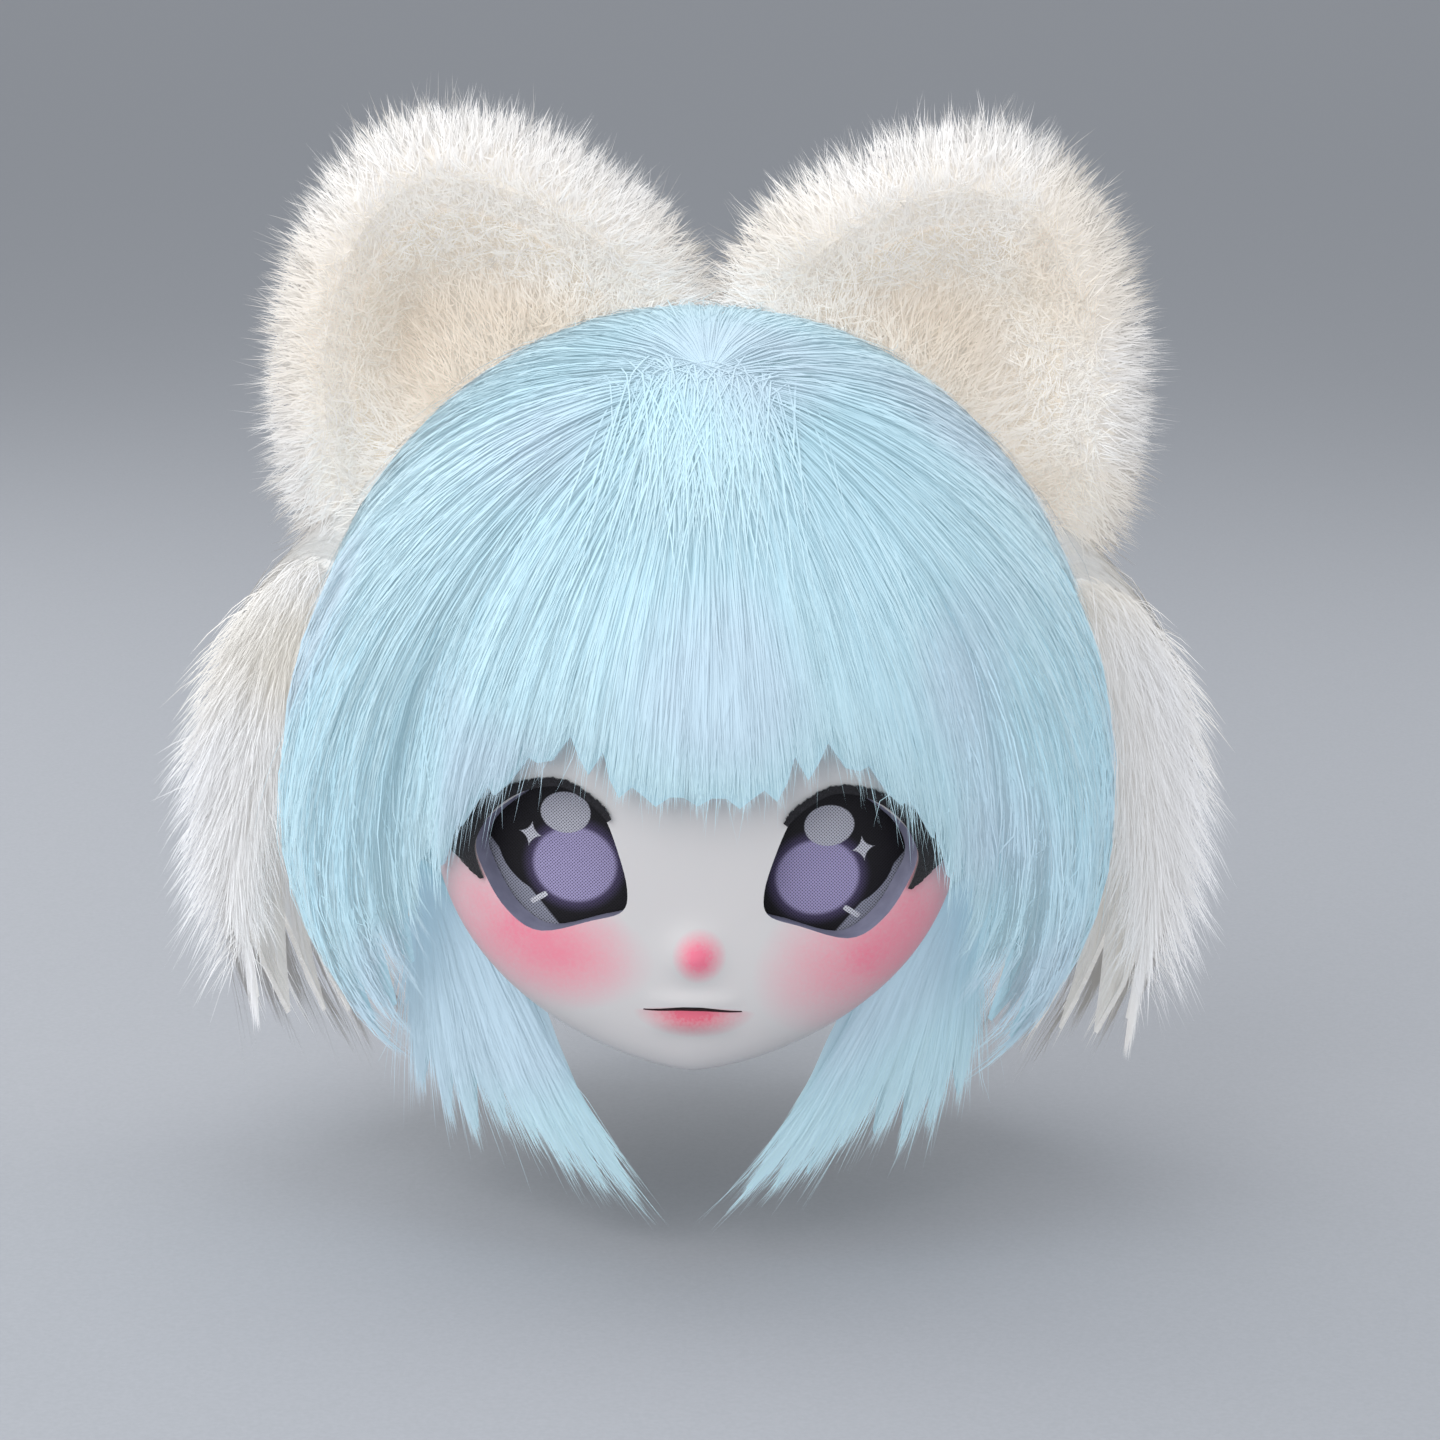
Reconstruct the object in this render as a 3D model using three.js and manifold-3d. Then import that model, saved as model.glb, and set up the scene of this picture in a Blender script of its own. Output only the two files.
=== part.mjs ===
// A costume head: a hard doll-like face mask on a hard dome, dressed with blue and white long-pile fur and two cupped
// fur ears. Millimetres, +Z up, the face looks along -Y. Left and right are the wearer's, so left is +X.
// Shapes are worked out about the middle of the head. The finished group is lowered so that its origin is the point
// inside the crown where the head rests on its wearer.
import * as THREE from "three";
import { mergeVertices } from "three/addons/utils/BufferGeometryUtils.js";
import Module from "manifold-3d";

const wasm = await Module();
wasm.setup();

// Hard dome
const SHELL_HALF_WIDTH = 104;
const SHELL_FRONT_DEPTH = 104;
const SHELL_BACK_DEPTH = 126;
const SHELL_HALF_HEIGHT = 128;
const SHELL_WALL = 3;
const JAW_CORNER_DROP = 62; // below the middle, where the neck edge leaves the face
const NAPE_EDGE_DROP = 46;

// Face mask
const FACE_HALF_WIDTH = 95;
const CHIN_DROP = 107;
const BROW_RISE = 50;
const FACE_FORWARD = 104; // from the middle to the bridge of the face
const CHIN_FORWARD = 90;
const CHEEK_FORWARD = 58;
const BROW_FORWARD = 97;
const FACE_WALL = 3;
const JAW_SIDE_POWER = 1.5; // of the superellipse that draws the jaw
const JAW_DROP_POWER = 2.9;
const BROW_POWER = 2.2;
const FACE_CROWN_POWER = 2.6; // how flat the face stays before it turns to its edge

// Nose and mouth
const NOSE_DROP = 62;
const NOSE_HEIGHT = 4.5;
const NOSE_REACH = 8;
const MOUTH_DROP = 82;
const MOUTH_HALF_WIDTH = 17;
const MOUTH_SLIT = 1.6;
const LIP_HEIGHT = 2.2;
const LIP_REACH = 5.5;
const MOUTH_BOW = 1.2; // rise of the slit's middle
const MOUTH_CUT_FRONT = 15; // reach of the cutting tool before and behind the face's bridge
const MOUTH_CUT_BACK = 25;

// Eyes
const EYE_SPACING = 100;
const EYE_DROP = 30;
const EYE_HALF_WIDTH = 26.5;
const EYE_HALF_HEIGHT = 26;
const SOCKET_DEPTH = 9;
const SOCKET_WALL = 2.5;
const SOCKET_SLANT = 0.42; // sideways step towards the nose for each millimetre of depth
const SCREEN_WALL = 1.2;
const SCREEN_TUCK = 0.6; // how far the screen's edge stays inside the socket's outside
const SOCKET_CUT_FRONT = 12; // reach of the cutting tool before the face and behind the socket
const SOCKET_CUT_BACK = 3;
const LASH_WALL = 1.2;

// Fur
const HAIR_HALF_WIDTH = 143;
const HAIR_FRONT_DEPTH = 123;
const HAIR_HALF_DEPTH = 150;
const HAIR_HALF_HEIGHT = 150;
const HAIR_PILE = 22;
const LOCK_PILE = 13;
const FUR_PILE = 34;
const TIP_WALL = 1.6;
const FRINGE_LIFT = 8; // of the fringe's tips in front of the forehead
const CAP_HALF_WIDTH = 126; // of the blue fur's backing, which spans from the dome to the mask's corner
const CAP_FRONT_DEPTH = 115;
const FRONT_LOCK_STEPS = 2;
const BACK_LOCKS = 21;
const SIDE_LOCKS = 7;

// Ears
const EAR_BACK = 42; // of the ear's middle behind the middle of the head
const EAR_BASE_THICKNESS = 24;
const EAR_PUFF = 19; // how far the rim stands forward of the ear's middle
const EAR_HOLLOW = 9; // how far the bowl sinks behind it
const EAR_FREE_RISE = 25; // above the hair's dome, where the ear reaches its full puff
const EAR_BACK_BULGE = 27;
const EAR_WIDTH = 156;
const EAR_HEIGHT = 148;
const EAR_CENTRE_SIDE = 90;
const EAR_CENTRE_RISE = 132;
const LINING_PILE = 7;
const LINING_RISE = 9; // of the lining's lower edge above the hair's dome

// Clearances
const SHELL_GAP = 0.5; // between hard pieces
const LASH_GAP = 0.65; // between a lash and the face, over facets of both
const SCREEN_GAP = 1.2; // between a socket and its screen
const FUR_GAP = 2; // between the white fur's backing and the dome, over facets of both
const CAP_GAP = 1; // between the blue cap and the mask or dome
const LOCK_GAP = 0.2; // between a side lock and the dome
const LINING_GAP = 0.5; // between an ear and its lining

// Shares of the hole's half width and half height. Out is away from the nose.
const EYE_OUTLINE = [
  { out: -0.68, up: 0.62 },
  { out: -0.87, up: 0.15 },
  { out: -1.0, up: -0.35 },
  { out: -0.94, up: -0.66 },
  { out: -0.53, up: -0.81 },
  { out: 0.15, up: -1.0 },
  { out: 0.6, up: -0.73 },
  { out: 0.91, up: -0.23 },
  { out: 0.99, up: 0.12 },
  { out: 0.8, up: 0.5 },
  { out: 0.34, up: 0.9 },
  { out: -0.08, up: 1.0 },
  { out: -0.46, up: 0.81 },
];

// From the wing's point to the nose. The edges are shares of the hole's half width, from the eye's middle.
const LASH_ROWS = [
  { degrees: -22, near: 0.95, far: 1 },
  { degrees: -9, near: 0.98, far: 1.2 },
  { degrees: 3, near: 1.01, far: 1.42 },
  { degrees: 20, near: 0.97, far: 1.28 },
  { degrees: 40, near: 0.95, far: 1.15 },
  { degrees: 58, near: 0.95, far: 1.1 },
  { degrees: 76, near: 0.965, far: 1.09 },
  { degrees: 98, near: 0.985, far: 1.09 },
  { degrees: 118, near: 0.93, far: 1.03 },
  { degrees: 134, near: 0.915, far: 1.01 },
  { degrees: 143, near: 0.91, far: 0.97 },
];

// Tips of the blue hair from the middle of the fringe round to the seam behind. Shares of the hair's half width, half
// depth and half height. A row with no back lies on the face. Notch is how far the hair is cut short beside the lock.
const FRONT_TIPS = [
  { side: 0.0, up: -0.04, notch: 0.03 },
  { side: 0.1, up: -0.045, notch: 0.03 },
  { side: 0.19, up: -0.03, notch: 0.05 },
  { side: 0.27, up: 0.01, notch: 0.12 },
  { side: 0.37, up: 0.03, notch: 0.05 },
  { side: 0.48, up: -0.05, notch: 0.05 },
  { side: 0.57, up: -0.14, notch: 0.06 },
  { side: 0.62, up: -0.25, notch: 0.08 },
  { side: 0.67, back: -0.3, up: -0.4, notch: 0.1 },
  { side: 0.72, back: -0.24, up: -0.58, notch: 0.12 },
  { side: 0.77, back: -0.15, up: -0.72, notch: 0.13 },
  { side: 0.83, back: -0.04, up: -0.8, notch: 0.14 },
  { side: 0.9, back: 0.08, up: -0.74, notch: 0.12 },
  { side: 0.97, back: 0.14, up: -0.46, notch: 0.03 },
  { side: 1.0, back: 0.155, up: 0.0, notch: 0 },
  { side: 0.93, back: 0.16, up: 0.34, notch: 0 },
  { side: 0.73, back: 0.17, up: 0.66, notch: 0 },
  { side: 0.4, back: 0.175, up: 0.9, notch: 0 },
  { side: 0.0, back: 0.18, up: 0.98, notch: 0 },
];
const WHORL = { side: 0, back: -0.385, up: 0.92 };

// Locks from the one beside the chin to the one beside the ear.
const LOCK_ROWS = [
  { from: [0.66, -0.22, -0.36], to: [0.12, -0.33, -1.14], bulge: -0.04, notch: 0.14 },
  { from: [0.7, -0.17, -0.34], to: [0.26, -0.3, -1.12], bulge: -0.04, notch: 0.18 },
  { from: [0.74, -0.11, -0.32], to: [0.42, -0.24, -1.02], bulge: -0.03, notch: 0.18 },
  { from: [0.77, -0.05, -0.3], to: [0.56, -0.14, -1.06], bulge: -0.02, notch: 0.18 },
  { from: [0.78, 0.0, -0.28], to: [0.7, -0.02, -0.98], bulge: -0.01, notch: 0.16 },
];

// White fur from behind the left cheek to the middle of the back.
const BACK_FUR_ROWS = [
  { from: [1.0, 0.2, 0.34], to: [1.17, 0.17, -0.68], bulge: 0.15, notch: 0.12 },
  { from: [0.99, 0.2, 0.4], to: [1.15, 0.33, -0.92], bulge: 0.16, notch: 0.15 },
  { from: [0.95, 0.2, 0.46], to: [1.02, 0.47, -0.96], bulge: 0.13, notch: 0.16 },
  { from: [0.9, 0.2, 0.52], to: [0.94, 0.63, -1.02], bulge: 0.1, notch: 0.16 },
  { from: [0.82, 0.2, 0.6], to: [0.8, 0.79, -0.97], bulge: 0.07, notch: 0.15 },
  { from: [0.7, 0.2, 0.7], to: [0.64, 0.92, -1.03], bulge: 0.05, notch: 0.15 },
  { from: [0.53, 0.2, 0.83], to: [0.44, 1.0, -0.98], bulge: 0.04, notch: 0.15 },
  { from: [0.28, 0.205, 0.93], to: [0.22, 1.06, -1.04], bulge: 0.03, notch: 0.15 },
  { from: [0.0, 0.21, 0.965], to: [0.0, 1.08, -1.0], bulge: 0.03, notch: 0.14 },
];

// Ear outline in shares of its width and height from its middle, from the crown round the top to the temple and back
// along the dome.
const EAR_OUTLINE = [
  { out: -0.55, up: 0.13 },
  { out: -0.47, up: 0.27 },
  { out: -0.37, up: 0.37 },
  { out: -0.13, up: 0.5 },
  { out: 0.13, up: 0.52 },
  { out: 0.31, up: 0.36 },
  { out: 0.41, up: 0.1 },
  { out: 0.43, up: -0.18 },
  { out: 0.37, up: -0.47 },
  { out: 0.13, up: -0.64 },
  { out: -0.1, up: -0.42 },
  { out: -0.3, up: -0.18 },
  { out: -0.55, up: -0.06 },
];

// From the middle of the bowl to the rim. Forward and behind are shares of the puff and of the bulge.
const EAR_PROFILE = [
  { out: 0.0, sunk: 1.0, forward: 0.0, behind: 1.0 },
  { out: 0.35, sunk: 0.8, forward: 0.0, behind: 0.97 },
  { out: 0.6, sunk: 0.0, forward: 0.45, behind: 0.88 },
  { out: 0.78, sunk: 0.0, forward: 1.0, behind: 0.72 },
  { out: 0.92, sunk: 0.0, forward: 0.85, behind: 0.45 },
  { out: 1.0, sunk: 0.0, forward: 0.12, behind: 0.08 },
];

const lerp = THREE.MathUtils.lerp;
const smoothstep = THREE.MathUtils.smoothstep;

function shareOfHair(side, back, up) {
  return new THREE.Vector3(side * HAIR_HALF_WIDTH, back * HAIR_HALF_DEPTH, up * HAIR_HALF_HEIGHT);
}

// Distance from the middle of the head to an ellipsoid that is deeper behind than in front.
function ellipsoidRadius(direction, halfWidth, frontDepth, backDepth, halfHeight) {
  const depth = direction.y < 0 ? frontDepth : backDepth;
  return 1 / Math.hypot(direction.x / halfWidth, direction.y / depth, direction.z / halfHeight);
}

function shellRadius(direction) {
  return ellipsoidRadius(direction, SHELL_HALF_WIDTH, SHELL_FRONT_DEPTH, SHELL_BACK_DEPTH, SHELL_HALF_HEIGHT);
}

function hairRadius(direction) {
  return ellipsoidRadius(direction, HAIR_HALF_WIDTH, HAIR_FRONT_DEPTH, HAIR_HALF_DEPTH, HAIR_HALF_HEIGHT);
}

// The mask's outline seen from the front. Turn runs from 0 at the chin through 1 at the cheek to 2 at the brow.
function faceOutline(turn) {
  if (turn <= 1) {
    const angle = (turn * Math.PI) / 2;
    return {
      x: FACE_HALF_WIDTH * Math.sin(angle) ** (2 / JAW_SIDE_POWER),
      z: -CHIN_DROP * Math.cos(angle) ** (2 / JAW_DROP_POWER),
    };
  }
  const angle = ((turn - 1) * Math.PI) / 2;
  return {
    x: FACE_HALF_WIDTH * Math.max(0, Math.cos(angle)) ** (2 / BROW_POWER),
    z: BROW_RISE * Math.sin(angle) ** (2 / BROW_POWER),
  };
}

// How far forward the mask's edge stands at a height on its outline.
function faceEdgeForward(z) {
  if (z < 0) {
    return lerp(CHEEK_FORWARD, CHIN_FORWARD, Math.min(1, -z / CHIN_DROP) ** 2.2);
  }
  return lerp(CHEEK_FORWARD, BROW_FORWARD, Math.min(1, z / BROW_RISE) ** 1.1);
}

function relief(x, z) {
  const nose = NOSE_HEIGHT * Math.exp(-((x / NOSE_REACH) ** 2) - ((z + NOSE_DROP) / NOSE_REACH) ** 2);
  const across = Math.max(0, 1 - (x / MOUTH_HALF_WIDTH) ** 2);
  const below = z + MOUTH_DROP + LIP_REACH * 0.8;
  const above = z + MOUTH_DROP - LIP_REACH * 0.6;
  const lower = LIP_HEIGHT * across * Math.exp(-((below / (LIP_REACH * 0.8)) ** 2));
  const upper = LIP_HEIGHT * 0.7 * across * Math.exp(-((above / (LIP_REACH * 0.6)) ** 2));
  return nose + lower + upper;
}

// Forward distance of the plain face at a share of the way from its middle to a point of its outline.
function faceForward(share, edgeZ) {
  const edge = faceEdgeForward(edgeZ);
  return edge + (FACE_FORWARD - edge) * Math.sqrt(Math.max(0, 1 - share ** FACE_CROWN_POWER));
}

function insideOutline(x, z) {
  const side = Math.abs(x) / FACE_HALF_WIDTH;
  return z < 0
    ? side ** JAW_SIDE_POWER + (-z / CHIN_DROP) ** JAW_DROP_POWER <= 1
    : side ** BROW_POWER + (z / BROW_RISE) ** BROW_POWER <= 1;
}

// Where a point of the front view lies on the mask: its share of the way out, or null beyond the outline.
function faceShare(x, z) {
  if (!insideOutline(x, z)) {
    return null;
  }
  let low = 1;
  let high = 64;
  for (let i = 0; i < 26; i++) {
    const stretch = (low + high) / 2;
    if (insideOutline(x * stretch, (z + NOSE_DROP) * stretch - NOSE_DROP)) {
      low = stretch;
    } else {
      high = stretch;
    }
  }
  return { share: 1 / low, edgeZ: (z + NOSE_DROP) * low - NOSE_DROP };
}

// The plain face's y at a point of the front view. Beyond the outline it is the edge's.
function faceY(x, z) {
  const at = faceShare(x, z);
  return at ? -faceForward(at.share, at.edgeZ) : -faceEdgeForward(z);
}

// The backing of the blue fur, which lies on the dome and spans from it over the edge of the mask.
function capRadius(direction) {
  const halfWidth = lerp(SHELL_HALF_WIDTH, CAP_HALF_WIDTH, smoothstep(-direction.y, 0, 0.4));
  return ellipsoidRadius(direction, halfWidth, CAP_FRONT_DEPTH, SHELL_BACK_DEPTH, SHELL_HALF_HEIGHT);
}

// A closed wall between two grids of points. Closed joins the last column to the first, and pole makes the first row
// one point.
function wallGeometry({ columns, rows, closed = false, pole = false, outer, inner }) {
  const across = closed ? columns : columns + 1;
  const points = [];
  const sides = [outer, inner].map((surface) => {
    const grid = [];
    for (let row = 0; row <= rows; row++) {
      const line = [];
      for (let column = 0; column < across; column++) {
        if (row === 0 && pole && column > 0) {
          line.push(line[0]);
        } else {
          line.push(points.push(surface(column / columns, row / rows)) - 1);
        }
      }
      grid.push(line);
    }
    return grid;
  });
  const triangles = [];
  const quad = (a, b, c, d) => triangles.push([a, b, c], [a, c, d]);
  const next = (column) => (column + 1) % across;
  for (let row = 0; row < rows; row++) {
    for (let column = 0; column < columns; column++) {
      const [o, i] = sides;
      quad(o[row][column], o[row][next(column)], o[row + 1][next(column)], o[row + 1][column]);
      quad(i[row][column], i[row + 1][column], i[row + 1][next(column)], i[row][next(column)]);
    }
  }
  const edge = (row, turned) => {
    for (let column = 0; column < columns; column++) {
      const loop = [sides[0][row][column], sides[0][row][next(column)], sides[1][row][next(column)]];
      loop.push(sides[1][row][column]);
      quad(...(turned ? loop.reverse() : loop));
    }
  };
  edge(rows, false);
  if (!pole) {
    edge(0, true);
  }
  if (!closed) {
    for (let row = 0; row < rows; row++) {
      const [o, i] = sides;
      quad(o[row][0], o[row + 1][0], i[row + 1][0], i[row][0]);
      quad(o[row][columns], i[row][columns], i[row + 1][columns], o[row + 1][columns]);
    }
  }
  return geometryFrom(points, triangles);
}

// Loops of points joined into a solid, with a fan at each end.
function loftGeometry(loops) {
  const count = loops[0].length;
  const points = loops.flat();
  const triangles = [];
  for (let row = 0; row + 1 < loops.length; row++) {
    for (let column = 0; column < count; column++) {
      const a = row * count + column;
      const b = row * count + ((column + 1) % count);
      triangles.push([a, b, b + count], [a, b + count, a + count]);
    }
  }
  [0, loops.length - 1].forEach((row) => {
    const middle = new THREE.Vector3();
    loops[row].forEach((p) => middle.addScaledVector(p, 1 / count));
    const hub = points.push(middle) - 1;
    for (let column = 0; column < count; column++) {
      const a = row * count + column;
      const b = row * count + ((column + 1) % count);
      triangles.push(row === 0 ? [b, a, hub] : [a, b, hub]);
    }
  });
  return geometryFrom(points, triangles);
}

// Triangles of points, turned to face out.
function geometryFrom(points, triangles) {
  const flat = triangles.filter(([a, b, c]) => a !== b && b !== c && c !== a);
  const volume = flat.reduce((sum, [a, b, c]) => {
    return sum + points[a].dot(new THREE.Vector3().crossVectors(points[b], points[c]));
  }, 0);
  const turned = volume < 0 ? flat.map(([a, b, c]) => [a, c, b]) : flat;
  const geometry = new THREE.BufferGeometry().setFromPoints(points);
  geometry.setIndex(turned.flat());
  return geometry;
}

function solidOf(geometry) {
  const merged = mergeVertices(geometry, 1e-4);
  return new wasm.Manifold(
    new wasm.Mesh({
      numProp: 3,
      vertProperties: merged.getAttribute("position").array,
      triVerts: new Uint32Array(merged.index.array),
    }),
  );
}

function geometryOf(solid) {
  const mesh = solid.getMesh();
  const geometry = new THREE.BufferGeometry();
  geometry.setAttribute("position", new THREE.BufferAttribute(mesh.vertProperties, 3));
  geometry.setIndex(new THREE.BufferAttribute(mesh.triVerts, 1));
  return geometry;
}

// The largest body of a solid, because a cut can leave crumbs.
function mainBody(solid) {
  return solid.decompose().sort((a, b) => b.volume() - a.volume())[0];
}

function mirroredX(point) {
  return new THREE.Vector3(-point.x, point.y, point.z);
}

// Hair from a root to a tip, swung about the middle of the head and held to the hair's own dome.
function flow(root, tip, bulge, share) {
  const from = root.clone().normalize();
  const to = tip.clone().normalize();
  const angle = Math.max(1e-6, from.angleTo(to));
  const direction = from
    .clone()
    .multiplyScalar(Math.sin((1 - share) * angle) / Math.sin(angle))
    .addScaledVector(to, Math.sin(share * angle) / Math.sin(angle))
    .normalize();
  const rootSize = root.length() / hairRadius(from);
  const tipSize = tip.length() / hairRadius(to);
  const size = lerp(rootSize, tipSize, share ** 2) * (1 + bulge * Math.sin(Math.PI * share ** 0.7));
  return direction.multiplyScalar(size * hairRadius(direction));
}

// A curve through one named value of each row, read at a share of the way along them.
function rowCurve(rows, read) {
  const points = rows.map((row) => read(row));
  const curve = new THREE.CatmullRomCurve3(points, false, "catmullrom", 0.5);
  return (share) => curve.getPoint(share);
}

// Long-pile fur on a backing. The table's rows set its course and the fur is cut short between its locks.
function furSheet({ rows, locks, pile, gap, side = 1, rowSteps, seat }) {
  const roots = rowCurve(rows, (row) => shareOfHair(...row.from));
  const tips = rowCurve(rows, (row) => shareOfHair(...row.to));
  const shape = rowCurve(rows, (row) => new THREE.Vector3(row.bulge, row.notch, 0));
  const outer = (u, t) => {
    const { x: bulge, y: notch } = shape(u);
    const valley = Math.sin(Math.PI * locks * u) ** 2;
    const point = flow(roots(u), tips(u), bulge, t * (1 - notch * valley));
    const groove = 1 - 0.03 * valley * smoothstep(t, 0.15, 0.8);
    return heldOutside(point.multiplyScalar(groove), seat, gap);
  };
  const inner = (u, t) => backedBy(outer(u, t), lerp(pile, TIP_WALL, smoothstep(t, 0.45, 1)), seat, gap);
  const mirror = (point) => (side > 0 ? point : mirroredX(point));
  return wallGeometry({
    columns: locks * 2,
    rows: rowSteps,
    outer: (u, t) => mirror(outer(u, t)),
    inner: (u, t) => mirror(inner(u, t)),
  });
}

// A point of a fur's outer face, moved out until the thinnest wall fits between it and the seat.
function heldOutside(point, seat, gap) {
  const direction = point.clone().normalize();
  const least = seat(direction) + gap + TIP_WALL;
  return direction.multiplyScalar(Math.max(least, point.length()));
}

// The fur's inner face behind a point of its outer face.
function backedBy(point, wall, seat, gap) {
  const direction = point.clone().normalize();
  return direction.multiplyScalar(Math.max(seat(direction) + gap, point.length() - wall));
}

const FACE_RINGS = [0, 0.08, 0.17, 0.27, 0.38, 0.5, 0.63, 0.76, 0.88, 0.96, 1];
const FACE_FLANGE_ROWS = 2;
const FACE_SPOKES = 36;

// A point of the mask's outer face. Row runs through the rings and then back along the flange, which ends on the dome.
function facePoint(u, t, raised, inset) {
  const rows = FACE_RINGS.length - 1 + FACE_FLANGE_ROWS;
  const row = Math.round(t * rows);
  const turn = u <= 0.5 ? u * 4 : (1 - u) * 4;
  const sign = u <= 0.5 ? 1 : -1;
  const edge = faceOutline(turn);
  const share = FACE_RINGS[Math.min(row, FACE_RINGS.length - 1)];
  const back = Math.max(0, row - (FACE_RINGS.length - 1)) / FACE_FLANGE_ROWS;
  const scale = share * (1 - inset / FACE_HALF_WIDTH);
  const x = edge.x * scale;
  const z = -NOSE_DROP + (edge.z + NOSE_DROP) * scale;
  const onDome = 1 - (edge.x / SHELL_HALF_WIDTH) ** 2 - (edge.z / SHELL_HALF_HEIGHT) ** 2;
  const domeY = -SHELL_FRONT_DEPTH * Math.sqrt(Math.max(0.02, onDome)) - SHELL_GAP * 3;
  const front = -faceForward(share, edge.z) + inset * Math.sqrt(1 - share ** 4) - (raised ? relief(x, z) : 0);
  return new THREE.Vector3(sign * x, lerp(front, domeY, back), z);
}

// A closed curve through a table of shares of a width and a height.
function outlineCurve(rows, width, height) {
  const points = rows.map(({ out, up }) => new THREE.Vector3(out * width, 0, up * height));
  return new THREE.CatmullRomCurve3(points, true, "catmullrom", 0.5);
}

function eyeOutlineCurve() {
  return outlineCurve(EYE_OUTLINE, EYE_HALF_WIDTH, EYE_HALF_HEIGHT);
}

// The eye hole's outline on the face, grown by a margin and sunk by a depth. Side is 1 for the left eye.
function eyeLoop(side, margin, depth, slanted = true) {
  const steps = 22;
  const grown = 1 + margin / EYE_HALF_WIDTH;
  return eyeOutlineCurve()
    .getPoints(steps)
    .slice(0, steps)
    .map((p) => eyePoint(side, p.x * grown, p.z * grown, depth, slanted));
}

function eyePoint(side, out, up, depth, slanted = true) {
  const x = EYE_SPACING / 2 + out;
  const z = -EYE_DROP + up;
  const shifted = slanted ? x - depth * SOCKET_SLANT : x;
  return new THREE.Vector3(side * shifted, faceY(x, z) + depth, z);
}

function faceShell() {
  const rows = FACE_RINGS.length - 1 + FACE_FLANGE_ROWS;
  let solid = solidOf(
    wallGeometry({
      columns: FACE_SPOKES,
      rows,
      closed: true,
      pole: true,
      outer: (u, t) => facePoint(u, t, true, 0),
      inner: (u, t) => facePoint(u, t, false, FACE_WALL),
    }),
  );
  for (const side of [1, -1]) {
    const ring = [FACE_WALL / 2, SOCKET_DEPTH].map((depth) => eyeLoop(side, SOCKET_WALL, depth));
    solid = solid.add(solidOf(loftGeometry(ring)));
  }
  for (const side of [1, -1]) {
    const hole = [
      eyeLoop(side, 0, -SOCKET_CUT_FRONT, false),
      eyeLoop(side, 0, 0),
      eyeLoop(side, 0, SOCKET_DEPTH + SOCKET_CUT_BACK),
    ];
    solid = solid.subtract(solidOf(loftGeometry(hole)));
  }
  return geometryOf(mainBody(solid.subtract(mouthCutter())));
}

// The slit between the lips, bowed up in the middle.
function mouthCutter() {
  const steps = 10;
  const line = (rise, y) => (share) => {
    const x = MOUTH_HALF_WIDTH * (2 * share - 1);
    const bow = MOUTH_BOW * Math.cos((Math.PI / 2) * (2 * share - 1)) ** 2;
    return new THREE.Vector3(x, y, -MOUTH_DROP + bow + rise * (1 - 0.7 * Math.abs(2 * share - 1)));
  };
  const front = -FACE_FORWARD - MOUTH_CUT_FRONT;
  const back = -FACE_FORWARD + MOUTH_CUT_BACK;
  const corner = [line(-MOUTH_SLIT / 2, front), line(MOUTH_SLIT / 2, front)];
  const deep = [line(-MOUTH_SLIT / 2, back), line(MOUTH_SLIT / 2, back)];
  const loops = [];
  for (let i = 0; i <= steps; i++) {
    loops.push([corner[0](i / steps), corner[1](i / steps), deep[1](i / steps), deep[0](i / steps)]);
  }
  return solidOf(loftGeometry(loops));
}

// Where the dome ends, as a point on it: behind the mask's flange, then along the neck edge to the nape.
function shellEdge(u) {
  const turned = u <= 0.5 ? u * 2 : (1 - u) * 2;
  const sign = u <= 0.5 ? 1 : -1;
  const brow = 0.62;
  if (turned < brow) {
    const cheekTurn = cheekTurnAt(JAW_CORNER_DROP);
    const edge = faceOutline(lerp(2, cheekTurn, turned / brow));
    const grown = 1 + (SHELL_GAP * 4) / FACE_HALF_WIDTH;
    const x = edge.x * grown;
    const z = -NOSE_DROP + (edge.z + NOSE_DROP) * grown;
    const onDome = 1 - (x / SHELL_HALF_WIDTH) ** 2 - (z / SHELL_HALF_HEIGHT) ** 2;
    return new THREE.Vector3(sign * x, -SHELL_FRONT_DEPTH * Math.sqrt(Math.max(0.02, onDome)), z).normalize();
  }
  const round = (turned - brow) / (1 - brow);
  const start = shellEdgeStart();
  const azimuth = lerp(Math.atan2(start.x, -start.y), Math.PI, round);
  const z = -lerp(JAW_CORNER_DROP, NAPE_EDGE_DROP, smoothstep(round, 0, 1));
  const level = Math.sqrt(1 - (z / SHELL_HALF_HEIGHT) ** 2);
  const depth = Math.cos(azimuth) > 0 ? SHELL_FRONT_DEPTH : SHELL_BACK_DEPTH;
  const flat = 1 / Math.hypot(Math.sin(azimuth) / SHELL_HALF_WIDTH, Math.cos(azimuth) / depth);
  return new THREE.Vector3(sign * Math.sin(azimuth) * flat * level, -Math.cos(azimuth) * flat * level, z).normalize();
}

function cheekTurnAt(drop) {
  return Math.acos((drop / CHIN_DROP) ** (JAW_DROP_POWER / 2)) / (Math.PI / 2);
}

function shellEdgeStart() {
  const edge = faceOutline(cheekTurnAt(JAW_CORNER_DROP));
  const onDome = 1 - (edge.x / SHELL_HALF_WIDTH) ** 2 - (edge.z / SHELL_HALF_HEIGHT) ** 2;
  return { x: edge.x, y: -SHELL_FRONT_DEPTH * Math.sqrt(Math.max(0.02, onDome)) };
}

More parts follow.
